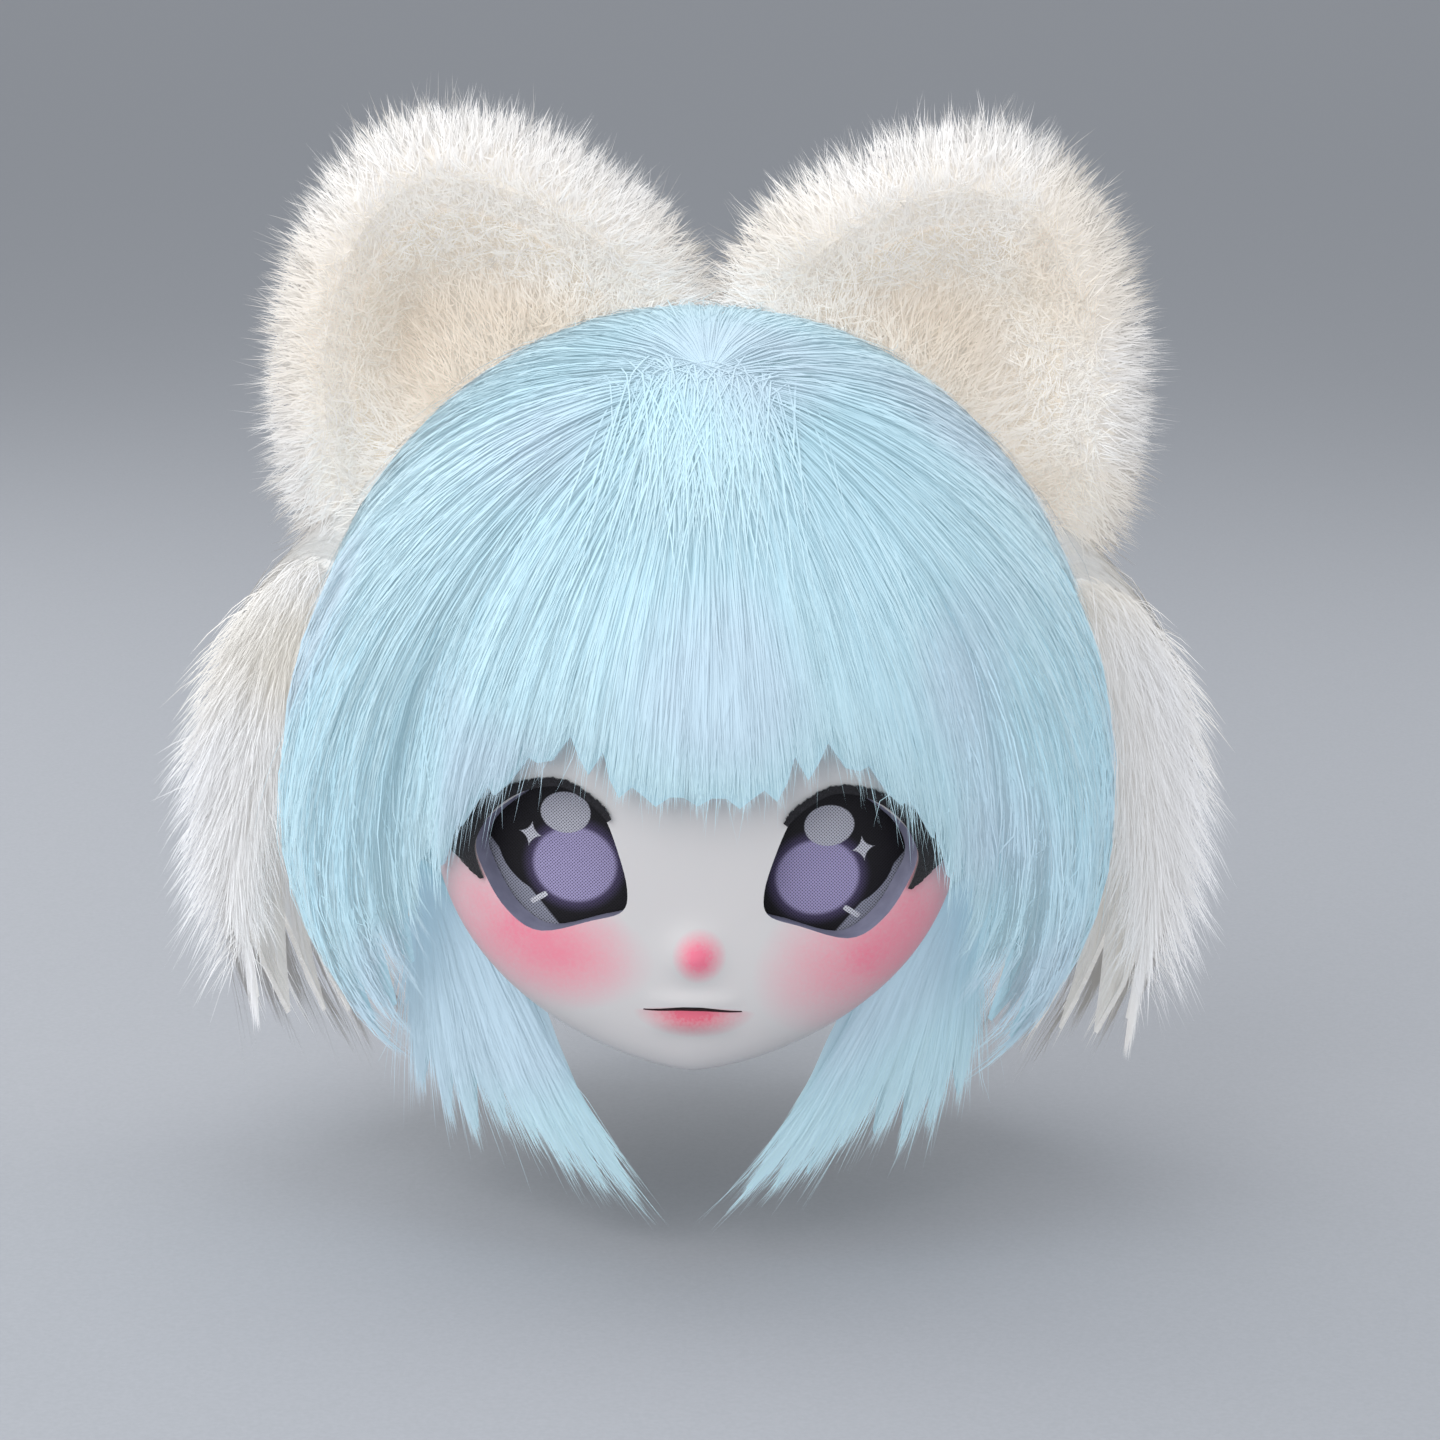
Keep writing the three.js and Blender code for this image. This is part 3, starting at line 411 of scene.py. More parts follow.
def loft(name, loops, materials, material_index):
    """Loops of points joined into a solid tool with a flat end each way."""
    count = len(loops[0])
    points = np.concatenate(loops)
    faces = []
    for row in range(len(loops) - 1):
        for a in range(count):
            b = (a + 1) % count
            faces.append([row * count + a, row * count + b, (row + 1) * count + b, (row + 1) * count + a])
    faces.append(list(range(count))[::-1])
    faces.append([(len(loops) - 1) * count + a for a in range(count)])
    mesh = bpy.data.meshes.new(name)
    mesh.from_pydata(to_frame(points).tolist(), [], faces)
    for material in materials:
        mesh.materials.append(material)
    for polygon in mesh.polygons:
        polygon.material_index = material_index
    made = bpy.data.objects.new(name, mesh)
    bpy.context.collection.objects.link(made)
    select_only(made)
    bpy.ops.object.mode_set(mode="EDIT")
    bpy.ops.mesh.select_all(action="SELECT")
    bpy.ops.mesh.normals_make_consistent(inside=False)
    bpy.ops.object.mode_set(mode="OBJECT")
    return made


def combine(made, tools, operation):
    """Joins tools to a piece or cuts them from it, and removes them."""
    select_only(tools[0])
    for tool in tools[1:]:
        tool.select_set(True)
    if len(tools) > 1:
        bpy.ops.object.join()
    select_only(made)
    step = made.modifiers.new("tool", "BOOLEAN")
    step.operation = operation
    step.solver = "EXACT"
    step.object = tools[0]
    bpy.ops.object.modifier_apply(modifier=step.name)
    bpy.data.objects.remove(tools[0])


# ---- Materials ----

def colour(text):
    """sRGB hex to linear."""
    parts = [int(text[i:i + 2], 16) / 255 for i in (1, 3, 5)]
    return tuple(c / 12.92 if c <= 0.04045 else ((c + 0.055) / 1.055) ** 2.4 for c in parts) + (1.0,)


def add(tree, kind, inputs=None, stops=None, **settings):
    """Adds one node. Inputs maps a socket to a value or to the socket that feeds it, and stops are a ramp's."""
    made = tree.nodes.new(kind)
    for name, value in settings.items():
        setattr(made, name, value)
    for socket, value in (inputs or {}).items():
        if isinstance(value, bpy.types.NodeSocket):
            tree.links.new(value, made.inputs[socket])
        else:
            made.inputs[socket].default_value = value
    for i, (place, value) in enumerate(stops or []):
        stop = made.color_ramp.elements[i] if i < 2 else made.color_ramp.elements.new(place)
        stop.position = place
        stop.color = colour(value) if isinstance(value, str) else (value, value, value, 1)
    return made


def new_material(name, **finish):
    """A material with its shader's fixed values."""
    made = bpy.data.materials.new(name)
    made.use_nodes = True
    shader = made.node_tree.nodes["Principled BSDF"]
    for socket, value in finish.items():
        shader.inputs[socket.replace("_", " ")].default_value = value
    return made, made.node_tree, shader


# Modacrylic pile: fine straight fibres with a soft lengthwise gloss. Each ribbon stands for a few fibres, so its
# colour runs from the shaded root to a paler tip and changes from one to the next.
def pile_material(name, root, body, tip, patch, gloss, painted_glow):
    made, tree, shader = new_material(name, Roughness=gloss, Sheen_Weight=0.25, Sheen_Roughness=0.5)
    shader.inputs["Specular IOR Level"].default_value = 0.35
    uv = add(tree, "ShaderNodeUVMap", uv_map="pile")
    along = add(tree, "ShaderNodeSeparateXYZ", {"Vector": uv.outputs["UV"]})
    tone = add(tree, "ShaderNodeAttribute", attribute_name="tone")
    tint = add(tree, "ShaderNodeAttribute", attribute_name="tint")
    lengthwise = add(tree, "ShaderNodeValToRGB", {"Fac": along.outputs["Y"]}, [(0, root), (0.45, body), (1, tip)])
    # Fibres within a ribbon: the noise is stretched 15 to 1 along it, and moved on from ribbon to ribbon.
    stretch = add(tree, "ShaderNodeMapping", {"Vector": uv.outputs["UV"], "Scale": (9, 0.6, 1)})
    moved = add(tree, "ShaderNodeVectorMath", {0: tone.outputs["Vector"], "Scale": 37.0}, operation="SCALE")
    place_in_pile = add(tree, "ShaderNodeVectorMath", {0: stretch.outputs["Vector"], 1: moved.outputs["Vector"]}, operation="ADD")
    streak = add(tree, "ShaderNodeTexNoise", {"Vector": place_in_pile.outputs["Vector"], "Scale": 2.2, "Detail": 0.0}, noise_dimensions="2D")
    mixed = add(tree, "ShaderNodeMath", {0: streak.outputs["Fac"], 1: 0.5, 2: tone.outputs["Fac"]}, operation="MULTIPLY_ADD")
    shade = add(tree, "ShaderNodeMapRange", {"Value": mixed.outputs["Value"], "From Min": 0.3, "From Max": 1.2, "To Min": 0.95, "To Max": 1.04})
    # Broad drifts of hue over the coat, about 70 mm across.
    place = add(tree, "ShaderNodeTexCoord")
    drift = add(tree, "ShaderNodeTexNoise", {"Vector": place.outputs["Object"], "Scale": 14.0, "Detail": 0.0})
    share = add(tree, "ShaderNodeMapRange", {"Value": drift.outputs["Fac"], "From Min": 0.45, "From Max": 0.65, "To Max": 0.7})
    patched = add(tree, "ShaderNodeMath", {0: share.outputs["Result"], 1: tint.outputs["Fac"]}, operation="ADD", use_clamp=True)
    hue = add(tree, "ShaderNodeMix", {"Factor": patched.outputs["Value"], "A": lengthwise.outputs["Color"], "B": colour(patch)}, data_type="RGBA")
    lit = add(tree, "ShaderNodeVectorMath", {0: hue.outputs["Result"], "Scale": shade.outputs["Result"]}, operation="SCALE")
    tree.links.new(lit.outputs["Vector"], shader.inputs["Base Color"])
    # The ribbons glow faintly in their own colour: a painted glow that stands in for the light fine pale fibres pass on
    # to each other, which a ribbon by itself can't.
    tree.links.new(lit.outputs["Vector"], shader.inputs["Emission Color"])
    shader.inputs["Emission Strength"].default_value = painted_glow
    # A fibre has no back: both sides of its ribbon are lit as the front is.
    geometry = add(tree, "ShaderNodeNewGeometry")
    turned = add(tree, "ShaderNodeMath", {0: geometry.outputs["Backfacing"], 1: -2.0, 2: 1.0}, operation="MULTIPLY_ADD")
    normal = add(tree, "ShaderNodeVectorMath", {0: geometry.outputs["Normal"], "Scale": turned.outputs["Value"]}, operation="SCALE")
    tree.links.new(normal.outputs["Vector"], shader.inputs["Normal"])
    return made


# The dense short underfur and its knitted backing, seen only between the long fibres. Its colours are close to the
# fibres' darker roots: painted shade for the depth between the fibres.
def underfur_material(name, deep, pale, lines, painted_glow):
    made, tree, shader = new_material(name, Roughness=0.8, Sheen_Weight=0.3, Sheen_Roughness=0.6)
    uv = add(tree, "ShaderNodeUVMap", uv_map="pile")
    stretch = add(tree, "ShaderNodeMapping", {"Vector": uv.outputs["UV"], "Scale": (lines, 5, 1)})
    streak = add(tree, "ShaderNodeTexNoise", {"Vector": stretch.outputs["Vector"], "Scale": 1.0, "Detail": 5.0, "Roughness": 0.65})
    ramp = add(tree, "ShaderNodeValToRGB", {"Fac": streak.outputs["Fac"]}, [(0.3, deep), (0.7, pale)])
    tree.links.new(ramp.outputs["Color"], shader.inputs["Base Color"])
    # The underfur glows faintly in its own colour too: a painted glow for the light passed on between fibres.
    tree.links.new(ramp.outputs["Color"], shader.inputs["Emission Color"])
    shader.inputs["Emission Strength"].default_value = painted_glow
    bump = add(tree, "ShaderNodeBump", {"Height": streak.outputs["Fac"], "Strength": 0.9, "Distance": 0.0015})
    tree.links.new(bump.outputs["Normal"], shader.inputs["Normal"])
    return made


def spot(tree, vector, centre, reach, turn=0.0):
    """1 at a spot's middle, falling to 0 at its reach."""
    mapped = add(tree, "ShaderNodeMapping", {
        "Vector": vector, "Location": centre, "Rotation": (0, turn, 0), "Scale": reach,
    }, vector_type="TEXTURE")
    return add(tree, "ShaderNodeTexGradient", {"Vector": mapped.outputs["Vector"]}, gradient_type="SPHERICAL").outputs["Fac"]


# Cast resin with a satin spray finish: smooth, faintly pebbled, with pink airbrushed on in fine droplets.
def mask_material():
    made, tree, shader = new_material("satin_painted_resin", Roughness=0.46, Subsurface_Weight=0.12)
    shader.inputs["Subsurface Radius"].default_value = (0.004, 0.0032, 0.003)
    shader.inputs["Subsurface Scale"].default_value = 0.5
    shader.inputs["Specular IOR Level"].default_value = 0.4
    place = add(tree, "ShaderNodeTexCoord")
    mist = add(tree, "ShaderNodeTexNoise", {"Vector": place.outputs["Object"], "Scale": 900.0, "Detail": 3.0})
    cloud = add(tree, "ShaderNodeTexNoise", {"Vector": place.outputs["Object"], "Scale": 55.0, "Detail": 3.0})
    paint = colour("#D7D4D4")
    deep = 10.0
    spots = [
        ((-0.061, 0, -0.181), (0.043, deep, 0.029), 0.35, "#F6879F", 0.85),
        ((-0.045, 0, -0.189), (0.032, deep, 0.020), 0.1, "#F4899F", 0.6),
        ((0.059, 0, -0.187), (0.041, deep, 0.030), -0.45, "#F6879F", 0.85),
        ((0.074, 0, -0.173), (0.028, deep, 0.033), -0.35, "#F4899F", 0.7),
        ((0.0018, 0, -0.1868), (0.0095, deep, 0.0100), 0.0, "#F8809A", 1.3),
        ((0.0005, 0, -0.2062), (0.0215, deep, 0.0108), 0.0, "#E06A80", 1.4),
    ]
    # The lips' paint stops at the mouth, which bows up in its middle.
    parts = add(tree, "ShaderNodeSeparateXYZ", {"Vector": place.outputs["Object"]})
    bowed = add(tree, "ShaderNodeMath", {0: parts.outputs["X"], 1: 57.0}, operation="MULTIPLY")
    squared = add(tree, "ShaderNodeMath", {0: bowed.outputs["Value"], 1: 2.0}, operation="POWER")
    height = add(tree, "ShaderNodeMath", {0: squared.outputs["Value"], 1: 0.0013, 2: parts.outputs["Z"]}, operation="MULTIPLY_ADD")
    below_mouth = add(tree, "ShaderNodeMapRange", {"Value": height.outputs["Value"], "From Min": -0.2052, "From Max": -0.2062})
    skin = None
    for centre, reach, turn, tint, strength in spots:
        fall = spot(tree, place.outputs["Object"], centre, reach, turn)
        grain = add(tree, "ShaderNodeMath", {0: cloud.outputs["Fac"], 1: mist.outputs["Fac"]}, operation="ADD")
        speckled = add(tree, "ShaderNodeMapRange", {"Value": grain.outputs["Value"], "From Min": 0.7, "From Max": 1.3, "To Min": 0.8, "To Max": 1.25})
        soft = add(tree, "ShaderNodeMath", {0: fall, 1: speckled.outputs["Result"]}, operation="MULTIPLY")
        if centre is spots[-1][0]:
            soft = add(tree, "ShaderNodeMath", {0: soft.outputs["Value"], 1: below_mouth.outputs["Result"]}, operation="MULTIPLY")
        share = add(tree, "ShaderNodeMath", {0: soft.outputs["Value"], 1: strength}, operation="MULTIPLY", use_clamp=True)
        mix = add(tree, "ShaderNodeMix", {"Factor": share.outputs["Value"], "B": colour(tint)}, data_type="RGBA")
        if skin:
            tree.links.new(skin, mix.inputs["A"])
        else:
            mix.inputs["A"].default_value = paint
        skin = mix.outputs["Result"]
    tree.links.new(skin, shader.inputs["Base Color"])
    bump = add(tree, "ShaderNodeBump", {"Height": mist.outputs["Fac"], "Strength": 0.12, "Distance": 0.0001})
    tree.links.new(bump.outputs["Normal"], shader.inputs["Normal"])
    return made


# The same resin inside the sockets, coloured a darker lavender grey with a streaky grain: painted shade for walls that
# lie in shadow inside the sockets.
def socket_material():
    made, tree, shader = new_material("socket_painted_shade", Roughness=0.55)
    place = add(tree, "ShaderNodeTexCoord")
    stroke = add(tree, "ShaderNodeTexNoise", {"Vector": place.outputs["Object"], "Scale": 160.0, "Detail": 4.0})
    ramp = add(tree, "ShaderNodeValToRGB", {"Fac": stroke.outputs["Fac"]}, [(0.35, "#85859B"), (0.65, "#9292A8")])
    tree.links.new(ramp.outputs["Color"], shader.inputs["Base Color"])
    bump = add(tree, "ShaderNodeBump", {"Height": stroke.outputs["Fac"], "Strength": 0.2, "Distance": 0.0002})
    tree.links.new(bump.outputs["Normal"], shader.inputs["Normal"])
    return made


# The walls of the mouth's slit in a dark wine colour, flat and slightly uneven: painted shade for the dark gap between
# the lips.
def mouth_material():
    made, tree, shader = new_material("mouth_slit_painted_shade", Roughness=0.5)
    place = add(tree, "ShaderNodeTexCoord")
    patch = add(tree, "ShaderNodeTexNoise", {"Vector": place.outputs["Object"], "Scale": 400.0})
    ramp = add(tree, "ShaderNodeValToRGB", {"Fac": patch.outputs["Fac"]}, [(0.3, "#4A1B26"), (0.7, "#6B2C3A")])
    tree.links.new(ramp.outputs["Color"], shader.inputs["Base Color"])
    return made


# Dye-printed polyester eye mesh: matt, pierced by staggered holes. Its holes are 0.85 mm apart and drawn 1.2 mm apart, so that they show, with the iris printed across it.
def mesh_material():
    made, tree, shader = new_material("printed_eye_mesh", Roughness=0.62)
    shader.inputs["Specular IOR Level"].default_value = 0.3
    uv = add(tree, "ShaderNodeUVMap", uv_map="pile")
    # The map is 100 mm to a unit with the eye's middle at its centre, so this turns it to millimetres.
    print_mm = add(tree, "ShaderNodeMapping", {"Vector": uv.outputs["UV"], "Location": (-50, -50, 0), "Scale": (100, 100, 1)}).outputs["Vector"]

    def printed(below, share, tint):
        mix = add(tree, "ShaderNodeMix", {"Factor": share, "B": colour(tint)}, data_type="RGBA")
        if isinstance(below, str):
            mix.inputs["A"].default_value = colour(below)
        else:
            tree.links.new(below, mix.inputs["A"])
        return mix.outputs["Result"]

    def disc(centre, reach, inner, outer):
        mapped = add(tree, "ShaderNodeMapping", {"Vector": print_mm, "Location": centre, "Scale": reach}, vector_type="TEXTURE")
        fall = add(tree, "ShaderNodeTexGradient", {"Vector": mapped.outputs["Vector"]}, gradient_type="SPHERICAL")
        return add(tree, "ShaderNodeMapRange", {"Value": fall.outputs["Fac"], "From Min": outer, "From Max": inner}, interpolation_type="SMOOTHSTEP").outputs["Result"]

    halo = disc((-3.7, -5.3, 0), (21, 19.5, 9), 0.33, 0.08)
    purple = disc((-3.7, -5.3, 0), (18, 16.5, 9), 0.26, 0.14)
    grey = disc((-0.2, 13.0, 0), (10.5, 8.8, 9), 0.20, 0.15)
    black = disc((0, 2, 0), (47, 39.6, 9), 0.505, 0.495)
    parts = add(tree, "ShaderNodeSeparateXYZ", {"Vector": print_mm})
    slope = add(tree, "ShaderNodeMath", {0: parts.outputs["X"], 1: 0.75}, operation="MULTIPLY")
    lower = add(tree, "ShaderNodeMath", {0: parts.outputs["Y"], 1: -0.66, 2: slope.outputs["Value"]}, operation="MULTIPLY_ADD")
    corner = add(tree, "ShaderNodeMapRange", {"Value": lower.outputs["Value"], "From Min": 18.6, "From Max": 19.2})
    outside = add(tree, "ShaderNodeMath", {0: 1.0, 1: black}, operation="SUBTRACT")
    white = add(tree, "ShaderNodeMath", {0: outside.outputs["Value"], 1: corner.outputs["Result"]}, operation="MULTIPLY")

    def pointed(centre, reach, turn, power, edge):
        """A shape whose outline is a power curve: a four-pointed glint below 1, a rounded bar above 2."""
        mapped = add(tree, "ShaderNodeMapping", {"Vector": print_mm, "Location": centre, "Rotation": (0, 0, turn), "Scale": reach}, vector_type="TEXTURE")
        axes = add(tree, "ShaderNodeSeparateXYZ", {"Vector": mapped.outputs["Vector"]})
        total = None
        for axis in ("X", "Y"):
            size = add(tree, "ShaderNodeMath", {0: axes.outputs[axis]}, operation="ABSOLUTE")
            raised = add(tree, "ShaderNodeMath", {0: size.outputs["Value"], 1: power}, operation="POWER")
            total = raised.outputs["Value"] if total is None else add(tree, "ShaderNodeMath", {0: total, 1: raised.outputs["Value"]}, operation="ADD").outputs["Value"]
        return add(tree, "ShaderNodeMapRange", {"Value": total, "From Min": 1 + edge, "From Max": 1 - edge}).outputs["Result"]

    glint = pointed((11.9, 4.2, 0), (4.2, 4.6, 1), 0.15, 0.62, 0.06)
    dash = pointed((8.6, -18.3, 0), (3.3, 0.95, 1), -0.6, 6, 0.3)
    base = printed("#17151A", halo, "#4E4566")
    base = printed(base, purple, "#A39AC2")
    base = printed(base, grey, "#B9B9C4")
    base = printed(base, white.outputs["Value"], "#9294A2")
    base = printed(base, glint, "#C6C6D0")
    base = printed(base, dash, "#D2D2DA")
    turned = add(tree, "ShaderNodeMapping", {"Vector": print_mm, "Rotation": (0, 0, math.radians(45)), "Scale": (1.2, 1.2, 1)})
    cells = add(tree, "ShaderNodeTexVoronoi", {"Vector": turned.outputs["Vector"], "Scale": 1.0, "Randomness": 0.0}, voronoi_dimensions="2D")
    # The holes are darkened to 0.3 of the print, painted shade for the dark inside of the head seen through them, and
    # the threads between them are lifted a little.
    hole = add(tree, "ShaderNodeMapRange", {"Value": cells.outputs["Distance"], "From Min": 0.24, "From Max": 0.36, "To Min": 0.3, "To Max": 1.12})
    pierced = add(tree, "ShaderNodeVectorMath", {0: base, "Scale": hole.outputs["Result"]}, operation="SCALE")
    tree.links.new(pierced.outputs["Vector"], shader.inputs["Base Color"])
    bump = add(tree, "ShaderNodeBump", {"Height": hole.outputs["Result"], "Strength": 0.5, "Distance": 0.0002})
    tree.links.new(bump.outputs["Normal"], shader.inputs["Normal"])
    return made


# Needle felt dyed black: matt with a short fuzz that greys its edges.
def felt_material():
    made, tree, shader = new_material("black_felt", Roughness=0.95, Sheen_Weight=0.5, Sheen_Roughness=0.4)
    place = add(tree, "ShaderNodeTexCoord")
    tangle = add(tree, "ShaderNodeTexNoise", {"Vector": place.outputs["Object"], "Scale": 1400.0, "Detail": 4.0, "Distortion": 1.5})
    ramp = add(tree, "ShaderNodeValToRGB", {"Fac": tangle.outputs["Fac"]}, [(0.35, "#0E0D10"), (0.7, "#2A282E")])
    tree.links.new(ramp.outputs["Color"], shader.inputs["Base Color"])
    bump = add(tree, "ShaderNodeBump", {"Height": tangle.outputs["Fac"], "Strength": 0.6, "Distance": 0.0004})
    tree.links.new(bump.outputs["Normal"], shader.inputs["Normal"])
    return made


# Vacuum-formed dome: pale matt plastic with a slight orange peel and faint scuffs.
def dome_material():
    made, tree, shader = new_material("formed_white_plastic", Roughness=0.55)
    place = add(tree, "ShaderNodeTexCoord")
    peel = add(tree, "ShaderNodeTexNoise", {"Vector": place.outputs["Object"], "Scale": 500.0, "Detail": 2.0})
    scuff = add(tree, "ShaderNodeTexNoise", {"Vector": place.outputs["Object"], "Scale": 30.0, "Detail": 5.0})
    ramp = add(tree, "ShaderNodeValToRGB", {"Fac": scuff.outputs["Fac"]}, [(0.35, "#D8D7D4"), (0.65, "#E6E5E2")])
    tree.links.new(ramp.outputs["Color"], shader.inputs["Base Color"])
    bump = add(tree, "ShaderNodeBump", {"Height": peel.outputs["Fac"], "Strength": 0.15, "Distance": 0.0002})
    tree.links.new(bump.outputs["Normal"], shader.inputs["Normal"])
    return made


# Seamless studio paper: even and matt, with a very fine tooth.
def paper_material():
    made, tree, shader = new_material("studio_paper", Roughness=0.9)
    place = add(tree, "ShaderNodeTexCoord")
    tooth = add(tree, "ShaderNodeTexNoise", {"Vector": place.outputs["Object"], "Scale": 600.0, "Detail": 3.0})
    ramp = add(tree, "ShaderNodeValToRGB", {"Fac": tooth.outputs["Fac"]}, [(0.3, "#A9ACB2"), (0.7, "#AEB1B7")])
    tree.links.new(ramp.outputs["Color"], shader.inputs["Base Color"])
    return made


# ---- Fibres ----

def scatter(surface, count, random, crowd=None, by_run=0):
    """Roots spread evenly over a surface, or crowded where the function says and where its runs are short."""
    columns, rows = 240, 30
    grid_u, grid_t = np.meshgrid(np.linspace(0, 1, columns + 1), np.linspace(0.001, 0.999, rows + 1))
    points = surface(grid_u, grid_t)
    across = points[:-1, 1:] - points[:-1, :-1]
    down = points[1:, :-1] - points[:-1, :-1]
    weight = size_of(np.cross(across, down))[..., 0]
    if by_run:
        weight = weight * by_run / np.clip(size_of(down)[..., 0].sum(0), 20, by_run)
    if crowd:
        weight = weight * crowd(grid_u[:-1, :-1], grid_t[:-1, :-1])
    cell = random.choice(weight.size, count, p=weight.ravel() / weight.sum())
    row, column = np.divmod(cell, columns)
    return (column + random.random(count)) / columns, (row + random.random(count)) / rows


def gathered(lines, groups, random):
    """Draws each fibre towards the nearest of some leading fibres, more so at its tip, and tints each bundle."""
    along = np.linspace(0, 1, lines.shape[1])
    tone = random.random(len(lines)) * 0.3
    for leaders, pull, power, weight in groups:
        leading = random.choice(len(lines), min(leaders, len(lines) // 3), replace=False)
        place = lines[:, lines.shape[1] // 2]
        lead = place[leading]
        nearest = np.empty(len(lines), int)
        for start in range(0, len(lines), 2000):
            part = place[start:start + 2000]
            gaps = (part ** 2).sum(1)[:, None] + (lead ** 2).sum(1)[None] - 2 * part @ lead.T
            nearest[start:start + 2000] = gaps.argmin(1)
        share = (pull * random.uniform(0.5, 1.5, len(lines)))[:, None, None] * (along ** power)[None, :, None]
        lines = lines + (lines[leading][nearest] - lines) * np.clip(share, 0, 0.97)
        tone = tone + random.random(len(leading))[nearest] * weight
    return lines, tone


def long_fibres(surface, count, length, width, random, groups, reach=1.0, first=0.0, wisp=0.02, rise=0.5, depth=3.0,
                spread=0.006,
                crowd=None, keep=None, facing=None, inward=False, tint=None, twist=0.35):
    """Fibres that lie along a fur's flow, from under its face to just above it."""
    u, t = scatter(surface, count, random, crowd, 110)
    if keep:
        kept = keep(u, t)
        u, t = u[kept], t[kept]
    count = len(u)
    along = np.linspace(0, 1, 6)
    whole = surface(np.tile(u[:, None], 13), np.tile(np.linspace(0, 1, 13), (count, 1)))
    arc = size_of(np.diff(whole, axis=1)).sum((1, 2))
    end = t + random.uniform(*length, count) / arc
    stop = reach + np.minimum(random.normal(0, wisp, count), wisp * 1.5)
    over = np.maximum(0, end - stop)
    start = np.maximum(random.uniform(0, first, count), t - over * 0.7)
    end = np.maximum(end, start + 0.03)
    end = np.minimum(end, stop)
    course_u = u[:, None] + random.normal(0, spread, count)[:, None] * along ** 1.5
    points = surface(course_u, start[:, None] + (end - start)[:, None] * along)
    outward = unit(points) * (-1 if inward else 1)
    body = random.normal(-0.2, 0.4, count)[:, None] * 4 * along * (1 - along)
    root = (0.4 + depth * smoothstep(start, 0, 0.12))[:, None] * (1 - along) ** 3
    lift = body - root + random.exponential(rise, count)[:, None] * along ** 2
    across = unit(np.cross(np.gradient(points, axis=1), outward))
    wave = random.normal(0, 0.6, count)[:, None] * np.sin(np.pi * (along * 1.6 + random.random(count)[:, None] * 2)) * along
    lines, tone = gathered(points + outward * lift[..., None] + across * wave[..., None], groups, random)
    if facing is not None:
        outward = unit(outward * 0.35 + np.array(facing))
    tints = tint(u, t) if tint else np.zeros(count)
    return lines, outward, random.uniform(*width, count), tone, tints, random.normal(0, twist, count)


def short_fibres(surface, count, length, width, random, groups, middle, face, lean, crowd=None, keep=None, droop=0.0,
                 tint=None, bend=0.4, loose=0.16, sunk=2.5, steps=4, facing=None):
    """Plush that stands off a surface, leans away from a middle point and turns over at its tip."""
    u, t = scatter(surface, count, random, crowd)
    root = surface(u, t)
    if keep:
        kept = keep(root)
        u, t, root = u[kept], t[kept], root[kept]
    count = len(u)
    across = surface(u + 0.004, t) - surface(u - 0.004, t)
    out = surface(u, np.minimum(t + 0.01, 1)) - surface(u, np.maximum(t - 0.01, 0))
    normal = unit(np.cross(across, out))
    away = unit((root - np.array(middle)) * (1, 0, 1))
    normal *= np.where((normal * (away * 0.6 * t[:, None] + np.array(face))).sum(-1, keepdims=True) < 0, -1, 1)
    # Where it leans into a hollow the fibre follows the surface instead.
    away = away - normal * np.minimum((normal * away).sum(-1, keepdims=True), 0)
    stray = random.normal(0, loose, (count, 1, 3))
    start = unit(normal[:, None] * (1 - lean) + away[:, None] * lean + stray)
    turn = away[:, None] * bend + stray * 1.5 - np.array([0, 0, droop])
    s = np.linspace(0, 1, steps)[None, :, None]
    reach = random.uniform(*length, count)[:, None, None]
    lines = root[:, None] - normal[:, None] * sunk + (start * s + turn * s ** 2 * 0.5) * reach
    lines, tone = gathered(lines, groups, random)
    outward = unit(normal[:, None] * 0.9 + away[:, None] * 0.3 + np.zeros_like(lines))
    if facing is not None:
        outward = unit(outward * 0.6 + np.array(facing))
    tints = tint(u, t) if tint else np.zeros(count)
    return lines, outward, random.uniform(*width, count), tone, tints, random.normal(0, 0.5, count)


